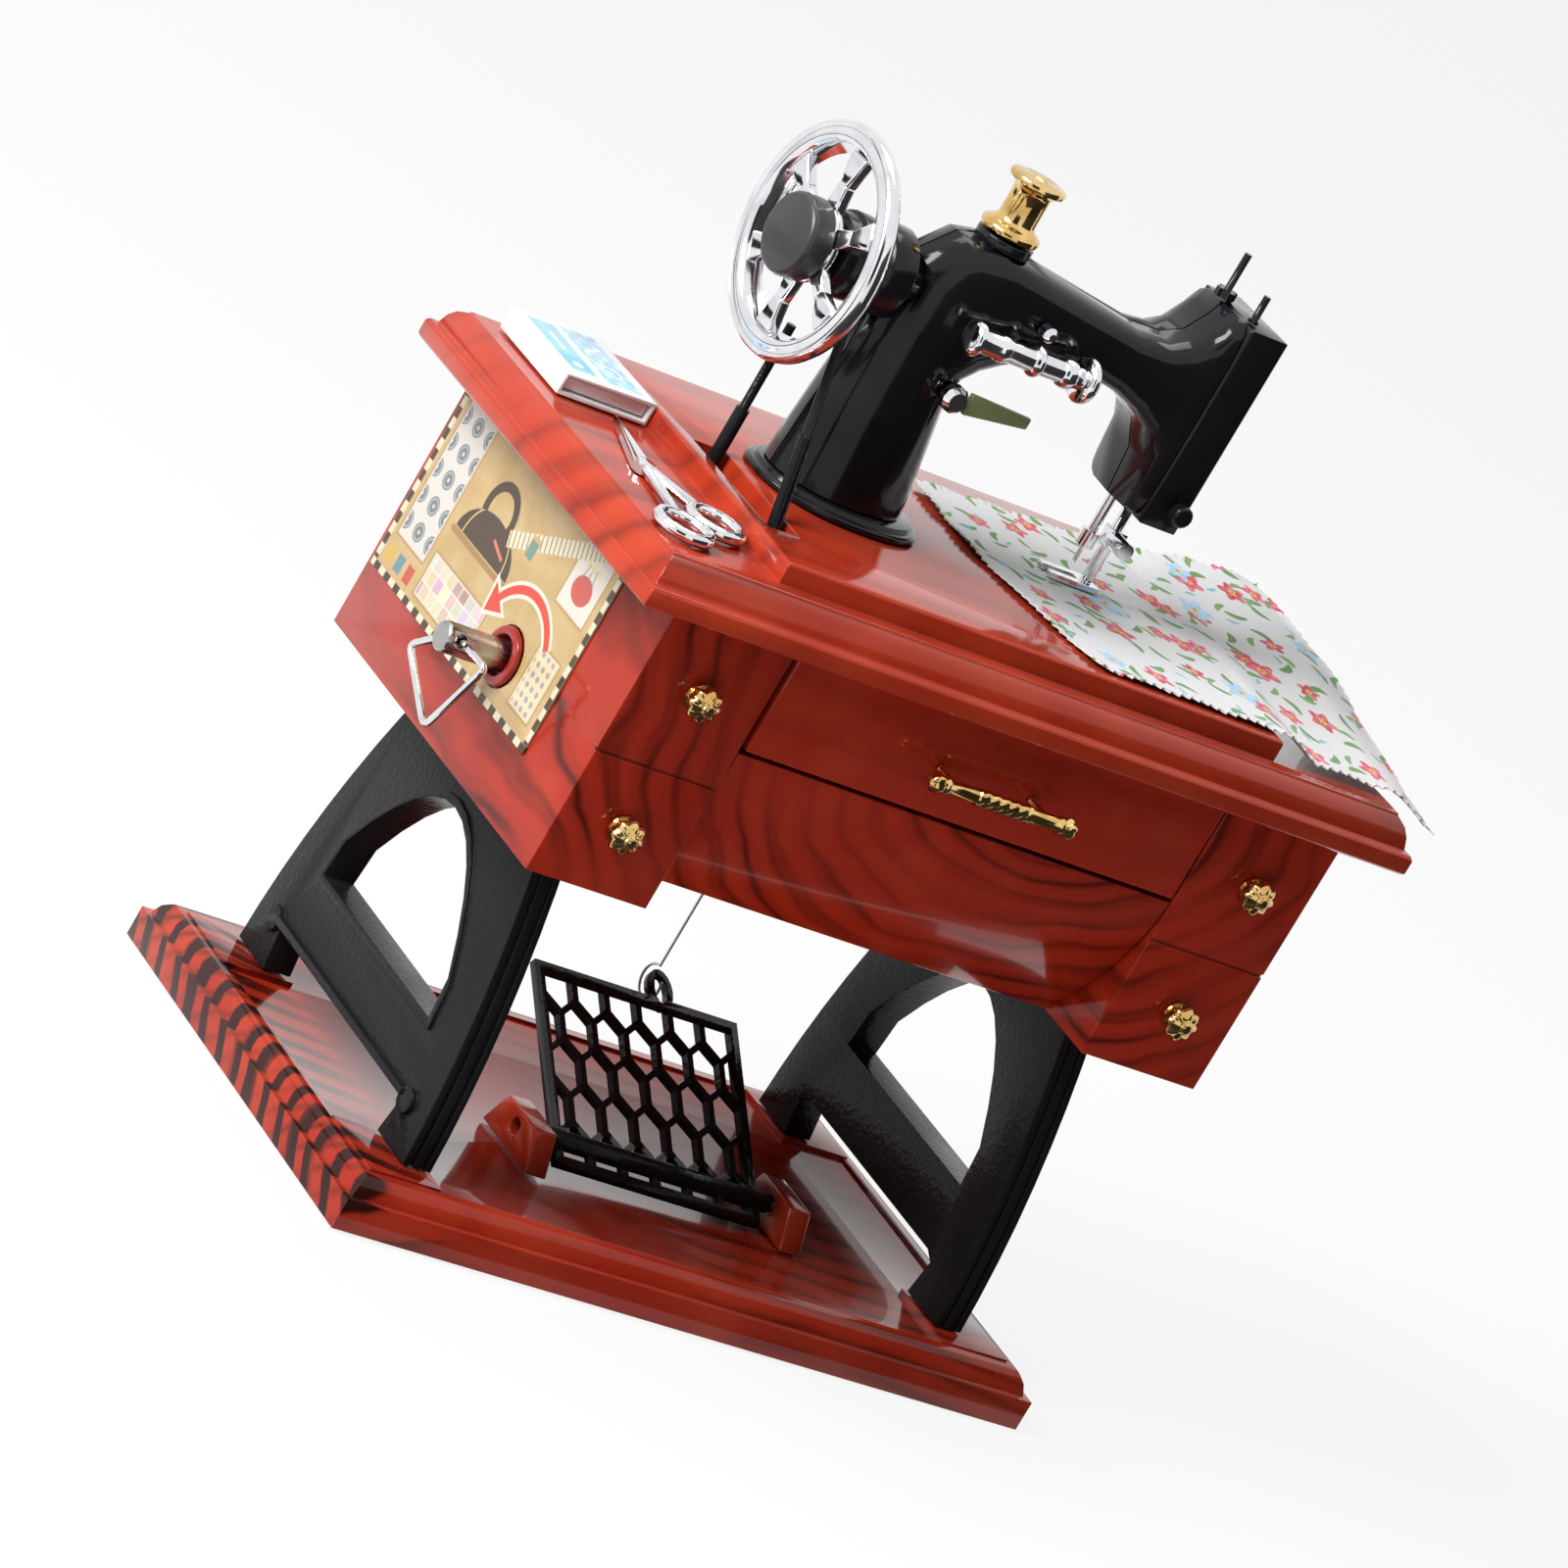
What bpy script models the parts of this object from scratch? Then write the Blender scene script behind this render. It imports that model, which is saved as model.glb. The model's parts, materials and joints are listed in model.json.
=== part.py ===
"""Clockwork music box shaped as a miniature treadle sewing-machine table."""
import math

import bmesh
import bpy
from mathutils import Matrix, Vector

# Clearances shared by all pieces
SEAT = 0.0003
RUN = 0.0004
OVERRUN = 0.002
SMOOTH_ANGLE = math.radians(35)

# Base plinth
BASE_LENGTH = 0.1309
BASE_DEPTH = 0.0840
BASE_LIP_TOP = 0.00815
BASE_INSET = 0.0031
BASE_LIP_WIDTH = 0.0020
BASE_FLOOR_DROP = 0.0006
PAD_RISE = 0.00095
PAD_LENGTH = 0.0130
PAD_DEPTH = 0.0150
PAD_INNER_Y = 0.0220
FOOT_BORE_RADIUS = 0.0033
FOOT_BORE_DEPTH = 0.0030
BASE_PROFILE_SHARES = ((0, 0), (0, 0.62), (0.38, 0.62), (0.44, 0.70), (0.58, 0.84), (0.84, 0.95), (1, 1))

# Leg frames
LEG_CENTRE_X = 0.0510
LEG_THICKNESS = 0.0052
LEG_HEIGHT = 0.0510
LEG_TOP_HALF_WIDTH = 0.0225
LEG_FOOT_HALF_WIDTH = 0.0329
LEG_BOW = 0.0043
LEG_FOOT_WIDTH = 0.0098
LEG_BAR_LOW = 0.0072
LEG_BAR_HIGH = 0.0184
LEG_ARCH_TOP = 0.0430
LEG_ARCH_HALF_WIDTH = 0.0234
LEG_CORNER_RADIUS = 0.0022
LEG_RIM_WIDTH = 0.0014
LEG_RIM_RISE = 0.0006
LEG_GROOVE_WIDTH = 0.0007
LEG_GROOVE_DEPTH = 0.0006
LEG_GROOVE_SPREAD = 0.0011
LEG_LEDGE_RISE = 0.0014
LEG_LEDGE_HEIGHT = 0.0012
LEG_SCROLL_RADIUS = 0.0021
LEG_SCROLL_RISE = 0.0010
LEG_SCROLL_SHARE = 0.6
LEG_CURVE_STEPS = 8

# Screws
SCREW_SHANK_RADIUS = 0.0010
SCREW_HEAD_RADIUS = 0.0020
SCREW_HEAD_HEIGHT = 0.0012
SCREW_LENGTH = 0.0070
SCREW_STEPS = 10

# Treadle, its bearing blocks and its pull wire
TREADLE_CENTRE_X = 0.0021
TREADLE_WIDTH = 0.0395
TREADLE_LENGTH = 0.0357
TREADLE_THICKNESS = 0.0014
TREADLE_TILT = math.radians(30.5)
TREADLE_RIM = 0.0016
TREADLE_BAR = 0.0011
TREADLE_PIVOT_Y = -0.0127
TREADLE_PIVOT_RISE = 0.0039
TREADLE_PIVOT_SHARE = 0.135
TREADLE_COLUMNS = 6
TREADLE_ROWS = 5
TREADLE_PIN_RADIUS = 0.0009
TREADLE_PIN_REACH = 0.0022
TREADLE_SLEEVE_RADIUS = 0.0016
BLOCK_GAP = 0.0028
BLOCK_THICKNESS = 0.0041
BLOCK_HEIGHT = 0.0062
BLOCK_BOTTOM_LENGTH = 0.0163
BLOCK_TOP_LENGTH = 0.0102
TAB_OFFSET = 0.0050
TAB_HALF_LENGTH = 0.0036
TAB_HALF_WIDTH = 0.0024
TAB_HOLE_HALF_LENGTH = 0.0026
TAB_HOLE_HALF_WIDTH = 0.0012
WIRE_RADIUS = 0.00025
WIRE_EYE_RADIUS = 0.0029
WIRE_EYE_RISE = 0.0056
WIRE_REACH_IN = 0.0085

# Cabinet
CABINET_LENGTH = 0.1286
CABINET_DEPTH = 0.0744
CABINET_HEIGHT = 0.0446
CABINET_WALL = 0.0020
LEFT_BLOCK_WIDTH = 0.0221
RIGHT_BLOCK_WIDTH = 0.0227
SHELF_HEIGHT_SHARE = 0.5695
SHELF_THICKNESS = 0.0020
SHELF_SETBACK = 0.0026
FLOOR_THICKNESS = 0.0018
POST_SIDE = 0.0060
BLOCK_GROOVE_HEIGHT = 0.0205
BLOCK_GROOVE_DEPTH = 0.0004
BLOCK_GROOVE_WIDTH = 0.0005
APRON_THICKNESS = 0.0018
APRON_BOTTOM_Y = -0.0249
APRON_CONTROL_Y = -0.0362
APRON_CONTROL_SHARE = 0.51
APRON_STEPS = 9

# Drawer
DRAWER_FRONT_THICKNESS = 0.0022
DRAWER_TOP_GAP = 0.0002
DRAWER_LEFT_GAP = 0.0011
DRAWER_DEPTH = 0.0520
DRAWER_WALL = 0.0014
DRAWER_RUN = 0.0005
DRAWER_SIDE_DROP = 0.0020
HANDLE_LENGTH = 0.0284
HANDLE_RADIUS = 0.0012
HANDLE_STAND = 0.0058
HANDLE_RISE_SHARE = 0.43
HANDLE_BALL_RADIUS = 0.0017
HANDLE_GRIP_SHARE = 0.30
HANDLE_POST_RADIUS = 0.0008
HANDLE_POST_SHARE = 0.80
KNOB_RADIUS = 0.00285
KNOB_RISE = 0.0040
KNOB_X = 0.0534
KNOB_HIGH_SHARE = 0.7444
KNOB_LOW_SHARE = 0.2332
KNOB_PROFILE_SHARES = ((0.50, 0), (0.50, 0.22), (0.88, 0.34), (1, 0.58), (0.82, 0.84), (0.42, 1))

# Picture label, key bush, winding key and its wire ring
LABEL_THICKNESS = 0.0003
LABEL_GAP = 0.0001
LABEL_REAR_Y = 0.0358
LABEL_FRONT_Y = -0.0227
LABEL_LOW_SHARE = 0.2511
LABEL_HIGH_SHARE = 0.9865
KEY_Y = -0.0065
KEY_RISE = 0.0187
BUSH_RADIUS = 0.0046
BUSH_SLEEVE_RADIUS = 0.0040
BUSH_BORE_RADIUS = 0.0032
BUSH_FLANGE = 0.0012
KEY_RADIUS = 0.0024
KEY_REACH_OUT = 0.0120
KEY_REACH_IN = 0.0024
KEY_SOCKET_DEPTH = 0.0060
KEY_ROLL = math.radians(-20)
KEY_CHAMFER = 0.0004
KEY_HOLE_INSET = 0.0024
KEY_HOLE_RADIUS = 0.0010
RING_WIRE_RADIUS = 0.0006
RING_HALF_WIDTH = 0.0106
RING_DROP = 0.0134
RING_SHOULDER_DROP = 0.0026
RING_CORNER_STEPS = 4
RING_CORNER_RADIUS = 0.0018

# Music movement
PLATE_THICKNESS = 0.0014
PLATE_FRONT_Y = -0.0180
PLATE_REAR_Y = 0.0288
PLATE_LOW = 0.0042
PLATE_HIGH = 0.0338
ARBOR_RADIUS = 0.0012
BARREL_RADIUS = 0.0090
BARREL_HEIGHT = 0.0100
BARREL_GEAR_HEIGHT = 0.0016
BARREL_TEETH = 36
GEAR_TOOTH = 0.0007
BRIDGE_THICKNESS = 0.0012
CHEEK_REACH = 0.0024
CYLINDER_RADIUS = 0.0058
CYLINDER_LENGTH = 0.0175
CYLINDER_X_RISE = 0.0078
CYLINDER_PIN_RISE = 0.0006
CYLINDER_PIN_ROWS = 9
CYLINDER_PINION_RADIUS = 0.0030
CYLINDER_PINION_LENGTH = 0.0020
COMB_TEETH = 18
COMB_THICKNESS = 0.0009
COMB_TOOTH_LENGTH = 0.0062
COMB_BACK = 0.0032
GOVERNOR_RADIUS = 0.0022
GOVERNOR_WORM_RADIUS = 0.0010
GOVERNOR_GAP = 0.0012

# Tabletop with raised deck
TOP_LENGTH = 0.1467
TOP_DEPTH = 0.0845
TOP_HEIGHT = 0.0078
TOP_INSET_X = 0.00365
TOP_INSET_Y = 0.0052
TOP_PROFILE_SHARES = (
    (0.12, 0), (0, 0.06), (0, 0.36), (0.10, 0.43), (0.30, 0.43), (0.34, 0.52), (0.42, 0.68),
    (0.58, 0.83), (0.80, 0.92), (0.88, 0.94), (0.90, 0.985), (1, 1))
DECK_LEFT_X = -0.0497
DECK_RIGHT_X = 0.0460
DECK_FRONT_Y = -0.0350
DECK_REAR_Y = 0.0315
DECK_HEIGHT = 0.0035
DECK_CHAMFER = 0.0004
SLOT_LEFT_X = -0.0470
SLOT_RIGHT_X = -0.0412
SLOT_FRONT_Y = -0.0223
SLOT_REAR_Y = 0.0046
SLOT_DEPTH = 0.0083
POCKET_RIB = 0.0026
POCKET_SKIN = 0.0022

# Sewing kit on the left of the tabletop
SLEEVE_LENGTH = 0.0214
SLEEVE_WIDTH = 0.0168
SLEEVE_HEIGHT = 0.0038
SLEEVE_WALL = 0.0007
SLEEVE_FRONT_Y = 0.0125
SCISSORS_THICKNESS = 0.0012
SCISSORS_LENGTH = 0.0490
SCISSORS_X = -0.0610
SCISSORS_Y = -0.0120
SCISSORS_TIP_SHARES = (0.0653, 0.4388)
SCISSORS_PIVOT_SHARES = (-0.0163, 0.0612)
SCISSORS_BLADE_WIDTH = 0.0034
SCISSORS_RING_SHARES = ((-0.0776, -0.3510), (0.1041, -0.2245))
SCISSORS_RING_RADIUS = 0.0042
SCISSORS_RING_WIRE = 0.0011
SCISSORS_PIVOT_RADIUS = 0.0016

# Sewing machine body
FLANGE_CENTRE_X = -0.02385
FLANGE_HALF_LENGTH = 0.01465
FLANGE_HALF_DEPTH = 0.0116
FLANGE_HEIGHT = 0.0018
FLANGE_STEP = 0.0010
SHELL_WALL = 0.0012
SHELL_SPLIT = 0.0003
SHELL_SIDE_STEPS = 12
MACHINE_LENGTH = 0.0582
MACHINE_HEIGHT = 0.0480
MACHINE_HALF_DEPTH = 0.0085
FACE_COVER_LENGTH = 0.0075
FACE_COVER_WALL = 0.0012
FACE_COVER_CHAMFER = 0.0004
FACE_COVER_TOP_SHARE = 0.985
FACE_SCREW_RADIUS = 0.00175
FACE_SCREW_RISE = 0.0030
FACE_SCREW_HEIGHT = 0.0030
PIN_RADIUS = 0.0006
PIN_REAR_HEIGHT = 0.0076
PIN_FRONT_HEIGHT = 0.0046
PIN_CROSS_LENGTH = 0.0034
PIN_CROSS_HEIGHT = 0.0014

# Handwheel and its shaft
WHEEL_RISE_SHARE = 0.69375
WHEEL_FRONT_X = -0.0508
WHEEL_RADIUS = 0.0185
WHEEL_RIM_BACK_RADIUS = 0.0162
WHEEL_INNER_RADIUS = 0.0140
WHEEL_DEPTH = 0.0034
WHEEL_HUB_RADIUS = 0.0062
WHEEL_SPOKES = 6
WHEEL_SPOKE_WIDTH = 0.0024
WHEEL_SPOKE_FLARE = 0.0048
WHEEL_SPOKE_DEPTH = 0.0020
WHEEL_STEPS = 36
HUB_CAP_RADIUS = 0.0064
HUB_CAP_HEIGHT = 0.0042
BOSS_RADIUS = 0.0070
BOSS_GROOVE = 0.0011
BOSS_SPIGOT_RADIUS = 0.0046
BOSS_SPIGOT_LENGTH = 0.0030
SHAFT_RADIUS = 0.0014
CRANK_RADIUS = 0.0034
CRANK_THICKNESS = 0.0012
CRANK_THROW = 0.0022
CRANK_PIN_RADIUS = 0.0006

# Belt rods
ROD_X = -0.0431
ROD_REAR_Y = 0.0032
ROD_REAR_HEIGHT = 0.0300
ROD_FRONT_Y = -0.0203
ROD_FRONT_TOP_Y = -0.0078
ROD_FRONT_HEIGHT = 0.0385
ROD_RADIUS = 0.00075
ROD_FOOT_RADIUS = 0.0011
ROD_FOOT_SHARE = 0.52

# Spool, winder, stud, nut and stitch lever
SPOOL_X = -0.0200
SPOOL_SEAT_RADIUS = 0.0046
SPOOL_SEAT_HEIGHT = 0.0016
SPOOL_SEAT_SINK = 0.0009
SPOOL_HEIGHT = 0.0100
SPOOL_RADIUS = 0.0048
SPOOL_PROFILE_SHARES = (
    (0.90, 0), (0.90, 0.10), (0.70, 0.20), (0.60, 0.32), (0.60, 0.60), (0.66, 0.72),
    (1, 0.80), (1, 0.88), (0.86, 0.90), (0.24, 0.92), (0.20, 1))
WINDER_Y = -0.0106
WINDER_RISE_SHARE = 0.6583
WINDER_LEFT_X = -0.0246
WINDER_LENGTH = 0.0235
WINDER_RADIUS = 0.0020
WINDER_DISC_RADIUS = 0.0036
WINDER_PROFILE_SHARES = (
    (0.60, 0), (0.76, 0.02), (0.76, 0.06), (0.50, 0.08), (0.50, 0.22), (0.58, 0.24), (0.58, 0.30),
    (0.48, 0.32), (0.48, 0.50), (0.66, 0.51), (0.66, 0.55), (0.48, 0.56), (0.48, 0.74), (0.62, 0.76),
    (0.62, 0.82), (0.46, 0.84), (0.46, 0.90), (1, 0.92), (1, 0.97), (0.70, 1))
STUD_X = -0.0108
STUD_RISE_SHARE = 0.7417
STUD_RADIUS = 0.00125
STUD_REACH = 0.0026
NUT_X = -0.0200
NUT_RISE_SHARE = 0.4458
NUT_RADIUS = 0.0022
NUT_HEIGHT = 0.0030
LEVER_LENGTH = 0.0115
LEVER_ROOT_WIDTH = 0.0035
LEVER_TIP_WIDTH = 0.0018
LEVER_THICKNESS = 0.0010

# Needle bar, needle and presser foot
NEEDLE_X = 0.0219
NEEDLE_Y = 0.0006
NEEDLE_BAR_RADIUS = 0.0008
NEEDLE_BAR_DROP = 0.0062
NEEDLE_CLAMP_RADIUS = 0.0015
NEEDLE_CLAMP_HEIGHT = 0.0026
NEEDLE_RADIUS = 0.00035
NEEDLE_LENGTH = 0.0034
YOKE_LENGTH = 0.0074
YOKE_HEIGHT = 0.0034
FOOT_BAR_X = 0.0258
FOOT_BAR_RADIUS = 0.0010
FOOT_SOLE_LENGTH = 0.0080
FOOT_SOLE_WIDTH = 0.0046
FOOT_SOLE_THICKNESS = 0.0009
FOOT_SLOT_WIDTH = 0.0016
FOOT_KNOB_RADIUS = 0.0014
FOOT_KNOB_REACH = 0.0034
FOOT_BLOCK_SIDE = 0.0030

# Cloth
CLOTH_THICKNESS = 0.0004
CLOTH_COLUMNS = 22
CLOTH_ROWS = 14
CLOTH_FRONT_LEFT_X = 0.0104
CLOTH_REAR_LEFT_X = 0.0050
CLOTH_LEFT_BULGE = 0.0035
CLOTH_RIGHT_X = 0.0815
CLOTH_REAR_RIGHT_X = 0.0755
CLOTH_FRONT_Y = -0.0330
CLOTH_REAR_LEFT_Y = 0.0225
CLOTH_REAR_RIGHT_Y = 0.0265
CLOTH_DROOP = 0.0050
CLOTH_LIFT = 0.0018
CLOTH_TOOTH = 0.0009

# Places worked out from the sizes above
BASE_FLOOR = BASE_LIP_TOP - BASE_FLOOR_DROP
PAD_TOP = BASE_FLOOR + PAD_RISE
LEG_BOTTOM = PAD_TOP + SEAT
LEG_TOP = LEG_BOTTOM + LEG_HEIGHT
CABINET_BOTTOM = LEG_TOP + SEAT
CABINET_TOP = CABINET_BOTTOM + CABINET_HEIGHT
LEFT_X = -CABINET_LENGTH / 2
RIGHT_X = CABINET_LENGTH / 2
FRONT_Y = -CABINET_DEPTH / 2
REAR_Y = CABINET_DEPTH / 2
BAY_LEFT_X = LEFT_X + LEFT_BLOCK_WIDTH
BAY_RIGHT_X = RIGHT_X - RIGHT_BLOCK_WIDTH
SHELF_BOTTOM = CABINET_BOTTOM + CABINET_HEIGHT * SHELF_HEIGHT_SHARE
SHELF_TOP = SHELF_BOTTOM + SHELF_THICKNESS
FLOOR_TOP = CABINET_BOTTOM + FLOOR_THICKNESS
TOP_BOTTOM = CABINET_TOP + SEAT
DRAWER_TOP = TOP_BOTTOM - DRAWER_TOP_GAP
TOP_TOP = TOP_BOTTOM + TOP_HEIGHT
DECK_TOP = TOP_TOP + DECK_HEIGHT
MACHINE_BOTTOM = DECK_TOP + SEAT + FLANGE_HEIGHT + SEAT
MACHINE_LEFT_X = FLANGE_CENTRE_X - FLANGE_HALF_LENGTH + FLANGE_STEP * 2
MACHINE_RIGHT_X = MACHINE_LEFT_X + MACHINE_LENGTH
WHEEL_Z = MACHINE_BOTTOM + MACHINE_HEIGHT * WHEEL_RISE_SHARE
KEY_Z = CABINET_BOTTOM + KEY_RISE
MOVEMENT_X = LEFT_X + CABINET_WALL + SEAT

for existing in list(bpy.data.objects):
    bpy.data.objects.remove(existing, do_unlink=True)


def material(name, colour, roughness, metallic=0.0):
    """A plain Principled material."""
    look = bpy.data.materials.new(name)
    look.use_nodes = True
    shader = look.node_tree.nodes["Principled BSDF"]
    shader.inputs["Base Color"].default_value = (*colour, 1.0)
    shader.inputs["Roughness"].default_value = roughness
    shader.inputs["Metallic"].default_value = metallic
    return look


RED_WOOD = material("red_brown_gloss", (0.36, 0.035, 0.012), 0.18)
BLACK_CAST = material("black_cast", (0.012, 0.012, 0.013), 0.38)
BLACK_GLOSS = material("black_gloss", (0.010, 0.010, 0.011), 0.16)
CHROME = material("chrome", (0.82, 0.82, 0.84), 0.07, 1.0)
GOLD = material("gold", (0.83, 0.60, 0.25), 0.16, 1.0)
BRASS = material("brass", (0.72, 0.52, 0.26), 0.28, 1.0)
STEEL = material("steel", (0.62, 0.62, 0.62), 0.35, 1.0)
BUSH_RED = material("bush_red", (0.42, 0.03, 0.02), 0.30)
CREAM = material("cream_print", (0.83, 0.70, 0.44), 0.45)
PAPER_WHITE = material("white_card", (0.88, 0.90, 0.90), 0.40)
OLIVE = material("olive_green", (0.16, 0.22, 0.08), 0.45)
CLOTH = material("printed_cotton", (0.86, 0.84, 0.82), 0.90)


def place(axis, u, v, w):
    """A point from two places across an axis and one along it."""
    return {"X": Vector((w, u, v)), "Y": Vector((u, w, v)), "Z": Vector((u, v, w))}[axis]


def as_object(name, bm, look, origin=(0, 0, 0)):
    """Turn a finished shape into an object whose origin is at the given point."""
    bmesh.ops.recalc_face_normals(bm, faces=bm.faces)
    bmesh.ops.translate(bm, verts=bm.verts, vec=-Vector(origin))
    mesh = bpy.data.meshes.new(name)
    bm.to_mesh(mesh)
    bm.free()
    mesh.shade_smooth()
    mesh.set_sharp_from_angle(angle=SMOOTH_ANGLE)
    mesh.materials.append(look)
    item = bpy.data.objects.new(name, mesh)
    item.location = origin
    bpy.context.scene.collection.objects.link(item)
    return item


def change(item, bm, operation, name):
    """Cut a shape from an object or join it to the object."""
    tool = as_object(f"{item.name}_{name}", bm, item.data.materials[0])
    tool.hide_render = True
    tool.display_type = "WIRE"
    step = item.modifiers.new(name, "BOOLEAN")
    step.object = tool
    step.operation = operation
    return tool


def cut(item, bm, name):
    return change(item, bm, "DIFFERENCE", name)


def join(item, bm, name):
    return change(item, bm, "UNION", name)


def box(bm, low, high):
    """A box between two corners."""
    corners = [bm.verts.new((x, y, z)) for x in (low[0], high[0])
               for y in (low[1], high[1]) for z in (low[2], high[2])]
    for ring in ((0, 1, 3, 2), (4, 6, 7, 5), (0, 4, 5, 1), (2, 3, 7, 6), (0, 2, 6, 4), (1, 5, 7, 3)):
        bm.faces.new([corners[i] for i in ring])


def loft(bm, rings, closed=False):
    """Skin a row of rings that have as many points each."""
    rows = [[bm.verts.new(point) for point in ring] for ring in rings]
    pairs = list(zip(rows, rows[1:]))
    if closed:
        pairs.append((rows[-1], rows[0]))
    for near, far in pairs:
        for i in range(len(near)):
            j = (i + 1) % len(near)
            bm.faces.new((near[i], near[j], far[j], far[i]))
    if not closed:
        bm.faces.new(rows[0][::-1])
        bm.faces.new(rows[-1])


def ring_points(axis, centre, radius, along, steps, squash=1.0, start=0.0):
    """Points on a circle across an axis."""
    angles = [start + 2 * math.pi * i / steps for i in range(steps)]
    return [place(axis, centre[0] + radius * math.cos(a), centre[1] + squash * radius * math.sin(a), along)
            for a in angles]


def turned(bm, axis, centre, profile, steps, closed=False):
    """A turned piece from (radius, place along the axis) pairs, outer side first when bored."""
    loft(bm, [ring_points(axis, centre, radius, along, steps) for radius, along in profile], closed)


def rod(bm, axis, centre, radius, low, high, steps=12):
    turned(bm, axis, centre, ((radius, low), (radius, high)), steps)


def shaped(shares, radius, low, length):
    """Profile points from shares of a radius and a length."""
    return [(radius * across, low + length * along) for across, along in shares]


def rectangles(bm, half_x, half_y, inset_x, inset_y, low, height, shares):
    """A rectangular moulding whose edge follows shares of an inset and a height."""
    rings = []
    for inset, rise in shares:
        x = half_x - inset_x * inset
        y = half_y - inset_y * inset
        z = low + height * rise
        rings.append([(-x, -y, z), (x, -y, z), (x, y, z), (-x, y, z)])
    loft(bm, rings)
    return rings[-1]


def plate(bm, axis, outline, holes, low, high):
    """A flat plate of any outline, with holes, square to an axis."""
    edges = []
    for loop in (outline, *holes):
        verts = [bm.verts.new(place(axis, u, v, low)) for u, v in loop]
        edges += [bm.edges.new((verts[i - 1], verts[i])) for i in range(len(verts))]
    filled = bmesh.ops.triangle_fill(bm, edges=edges, use_beauty=True, use_dissolve=False)
    faces = [part for part in filled["geom"] if isinstance(part, bmesh.types.BMFace)]
    raised = bmesh.ops.extrude_face_region(bm, geom=faces)
    top = [part for part in raised["geom"] if isinstance(part, bmesh.types.BMVert)]
    bmesh.ops.translate(bm, verts=top, vec=place(axis, 0, 0, high - low))


def prism(bm, axis, outline, low, high):
    """A solid prism over a simple outline."""
    loft(bm, [[place(axis, u, v, low) for u, v in outline], [place(axis, u, v, high) for u, v in outline]])


def tube(bm, points, radius, steps=8, closed=False):
    """A round wire along a route of points."""
    points = [Vector(point) for point in points]
    count = len(points)
    rings = []
    side = None
    for i, point in enumerate(points):
        before = points[i - 1] if closed or i else point
        after = points[(i + 1) % count] if closed or i < count - 1 else point
        along = (after - before).normalized()
        if side is None:
            side = along.orthogonal().normalized()
        side = (side - along * side.dot(along)).normalized()
        other = along.cross(side)
        angles = [2 * math.pi * k / steps for k in range(steps)]
        rings.append([point + (side * math.cos(a) + other * math.sin(a)) * radius for a in angles])
    loft(bm, rings, closed)


def ellipse(centre, half_u, half_v, steps, power=2.0):
    """Points on a superellipse."""
    points = []
    for i in range(steps):
        a = 2 * math.pi * i / steps
        c, s = math.cos(a), math.sin(a)
        points.append((centre[0] + half_u * math.copysign(abs(c) ** (2 / power), c),
                       centre[1] + half_v * math.copysign(abs(s) ** (2 / power), s)))
    return points


def bend(start, control, end, steps):
    """Points on a quadratic curve."""
    curve = []
    for i in range(steps + 1):
        t = i / steps
        curve.append(tuple(a * (1 - t) ** 2 + 2 * b * t * (1 - t) + c * t ** 2
                           for a, b, c in zip(start, control, end)))
    return curve


def rounded(corners, radius, steps):
    """Replace each corner of an outline by an arc-like bend of the given size."""
    outline = []
    for i, corner in enumerate(corners):
        here = Vector(corner)
        toward = (Vector(corners[i - 1]) - here).normalized() * radius
        onward = (Vector(corners[(i + 1) % len(corners)]) - here).normalized() * radius
        outline += bend(tuple(here + toward), tuple(here), tuple(here + onward), steps)
    return outline


# Base, screws and leg frames
def leg_positions():
    return (-LEG_CENTRE_X, LEG_CENTRE_X)


def foot_screw_places():
    """Where a screw from below enters each foot."""
    inset = LEG_FOOT_HALF_WIDTH - LEG_FOOT_WIDTH / 2
    return [(x, y) for x in leg_positions() for y in (-inset, inset)]


def build_base():
    bm = bmesh.new()
    half_x, half_y = BASE_LENGTH / 2, BASE_DEPTH / 2
    rings = []
    for inset, rise in BASE_PROFILE_SHARES:
        rings.append((half_x - BASE_INSET * inset, half_y - BASE_INSET * inset, BASE_LIP_TOP * rise))
    inner_x = half_x - BASE_INSET - BASE_LIP_WIDTH
    inner_y = half_y - BASE_INSET - BASE_LIP_WIDTH
    rings += [(inner_x, inner_y, BASE_LIP_TOP), (inner_x, inner_y, BASE_FLOOR)]
    loft(bm, [[(-x, -y, z), (x, -y, z), (x, y, z), (-x, y, z)] for x, y, z in rings])
    base = as_object("base_plinth", bm, RED_WOOD)
    pads = bmesh.new()
    bores = bmesh.new()
    for x, y in foot_screw_places():
        near = math.copysign(PAD_INNER_Y, y)
        far = math.copysign(PAD_INNER_Y + PAD_DEPTH, y)
        near_x = math.copysign(LEG_CENTRE_X - LEG_THICKNESS / 2 - SEAT, x)
        far_x = near_x + math.copysign(PAD_LENGTH, x)
        lows, highs = min(near_x, far_x), max(near_x, far_x)
        box(pads, (lows, min(near, far), BASE_FLOOR - OVERRUN), (highs, max(near, far), PAD_TOP))
        turned(bores, "Z", (x, y), ((FOOT_BORE_RADIUS, -OVERRUN), (FOOT_BORE_RADIUS, FOOT_BORE_DEPTH),
               (SCREW_SHANK_RADIUS + RUN, FOOT_BORE_DEPTH), (SCREW_SHANK_RADIUS + RUN, PAD_TOP + OVERRUN)),
               SCREW_STEPS)
    join(base, pads, "pads")
    cut(base, bores, "bores")


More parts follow.
